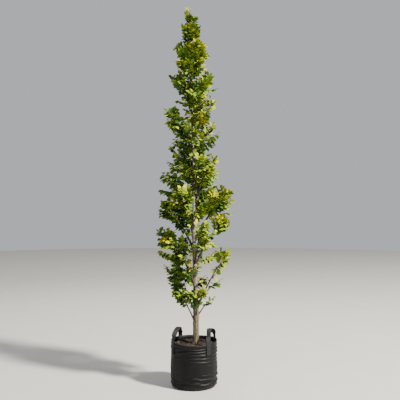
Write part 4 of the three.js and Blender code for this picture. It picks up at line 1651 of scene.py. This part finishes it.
def makeCompost(finish):
    # Drawn with radius 1, then carried out to the bag's wall
    rule = compostShape
    bm = bmesh.new()
    side = [(1, z) for z in (rule["top"], *rule["sideRows"])]
    under = [(rule["bottomShare"], rule["bottom"]), (0, rule["bottom"])]
    edges = drawProfile(bm, [(0, rule["top"]), *side, *under])
    bmesh.ops.subdivide_edges(bm, edges=edges[:1], cuts=rule["rows"])
    spinProfile(bm, rule["around"])
    for vert in bm.verts:
        share, angle, z = math.hypot(vert.co.x, vert.co.y), angleOf(vert.co), vert.co.z
        atTop = z > rule["sideRows"][0] + 0.001
        below = bagRadius(max(z, bagShape["footRound"])) - bagShape["wall"] - rule["inset"]
        edge = compostEdge(angle) if atTop else below
        x, y = math.cos(angle) * share * edge, math.sin(angle) * share * edge
        vert.co = (x, y, compostHeight(x, y) if atTop else z)
    addPiece("compostMound", meshOf("compostMound", bm), finish, "compost", "compost")


def makeChips(finish):
    rule = chipShape
    draw = random.Random(rule["seed"])
    bm = bmesh.new()
    trunkFoot = trunkAt(trunkShape["foot"])
    for i in range(rule["count"]):
        angle = draw.uniform(0, 2 * math.pi)
        radius = rule["farthest"] * math.sqrt(draw.random())
        x, y = math.cos(angle) * radius, math.sin(angle) * radius
        if math.hypot(x - trunkFoot.x, y - trunkFoot.y) < rule["clearOfTrunk"]:
            continue
        length = lerp(*rule["length"], draw.random() ** 2)
        size = Vector((1, draw.uniform(*rule["narrow"]), draw.uniform(*rule["flat"]))) * length / 2
        turn = Matrix.Rotation(draw.uniform(0, math.pi), 3, "Z")
        for axis, tilt in zip("XY", rule["tilt"]):
            turn = turn @ Matrix.Rotation(draw.uniform(-tilt, tilt), 3, axis)
        centre = Vector((x, y, compostHeight(x, y) + size.z * 0.5))
        for vert in bmesh.ops.create_icosphere(bm, subdivisions=1, radius=1)["verts"]:
            jitter = 1 + draw.uniform(-rule["jitter"], rule["jitter"])
            vert.co = centre + turn @ (Vector(a * b for a, b in zip(vert.co, size)) * jitter)
    mesh = meshOf("barkChips", bm)
    addPiece("barkChips", mesh, finish, "compost")
    mesh.polygons.foreach_set("use_smooth", [False] * len(mesh.polygons))


def compostFinish():
    paint = Finish("moistCompost")
    grains = paint.noise(210.0, 6.0, 0.7)
    damp = paint.noise(18.0)
    wet, crumb, dry = (0.003, 0.0018, 0.001, 1), (0.011, 0.0065, 0.004, 1), (0.06, 0.040, 0.027, 1)
    colour = paint.ramp(grains, (0.34, wet), (0.55, crumb), (0.74, dry))
    colour = paint.blend(paint.ramp(damp, (0.35, 0.0), (0.65, 0.55)), colour, (0.010, 0.006, 0.004, 1))
    roughness = paint.ramp(damp, (0.3, 0.95), (0.7, 0.7))
    return paint.done(colour, roughness, (grains, 0.003, 0.9), 0.1)


def chipFinish():
    paint = Finish("barkChip")
    fibre = paint.noise((500, 180, 180))
    dark, brown, pale = (0.009, 0.005, 0.003, 1), (0.034, 0.021, 0.012, 1), (0.24, 0.18, 0.125, 1)
    colour = paint.ramp(paint.noise(75.0, 1.0), (0.42, dark), (0.60, brown), (0.76, pale))
    colour = paint.blend(paint.ramp(fibre, (0.4, 0.5), (0.6, 0.0)), colour, (0.02, 0.012, 0.008, 1))
    return paint.done(colour, 0.85, (fibre, 0.0012, 0.8))


makeCompost(compostFinish())
makeChips(chipFinish())
print("compost made")


# Floor and light

studio = {
    "floorRadius": 14.0,
    "floorHeight": -0.0005,
    "floorColour": (0.43, 0.42, 0.40, 1),
    "worldColour": (0.80, 0.83, 0.88, 1),
    "worldStrength": 0.62,
    "lights": [
        # name, place, size, power, colour
        ("sunny", (7.6, -5.0, 9.3), 1.4, 6900.0, (1.0, 0.94, 0.84)),
        ("fill", (-3.6, -2.8, 2.6), 3.0, 30.0, (1.0, 1.0, 1.0)),
        ("behind", (-1.5, 4.0, 4.2), 3.0, 120.0, (1.0, 0.97, 0.92)),
    ],
    "aim": (0, 0, 1.3),
}


def makeFloor():
    bm = bmesh.new()
    low = Matrix.Translation((0, 0, studio["floorHeight"]))
    bmesh.ops.create_circle(bm, cap_ends=True, segments=96, radius=studio["floorRadius"], matrix=low)
    paint = Finish("paleFloor")
    paler = tuple(channel * 1.04 for channel in studio["floorColour"][:3]) + (1,)
    colour = paint.ramp(paint.noise(3.0, 2.0), (0.3, studio["floorColour"]), (0.7, paler))
    floor = placeObject("floor", meshOf("floor", bm))
    floor.data.materials.append(paint.done(colour, 0.9))


def setLights():
    world = bpy.data.worlds.new("studio")
    world.use_nodes = True
    background = world.node_tree.nodes["Background"]
    background.inputs["Color"].default_value = studio["worldColour"]
    background.inputs["Strength"].default_value = studio["worldStrength"]
    bpy.context.scene.world = world
    for name, place, size, power, colour in studio["lights"]:
        light = bpy.data.lights.new(name, "AREA")
        light.color = colour
        light.shape = "DISK"
        light.size = size
        light.energy = power
        holder = placeObject(name, light)
        holder.location = place
        aim = Vector(studio["aim"]) - Vector(place)
        holder.rotation_euler = aim.to_track_quat("-Z", "Y").to_euler()


makeFloor()
setLights()
print("studio ready")
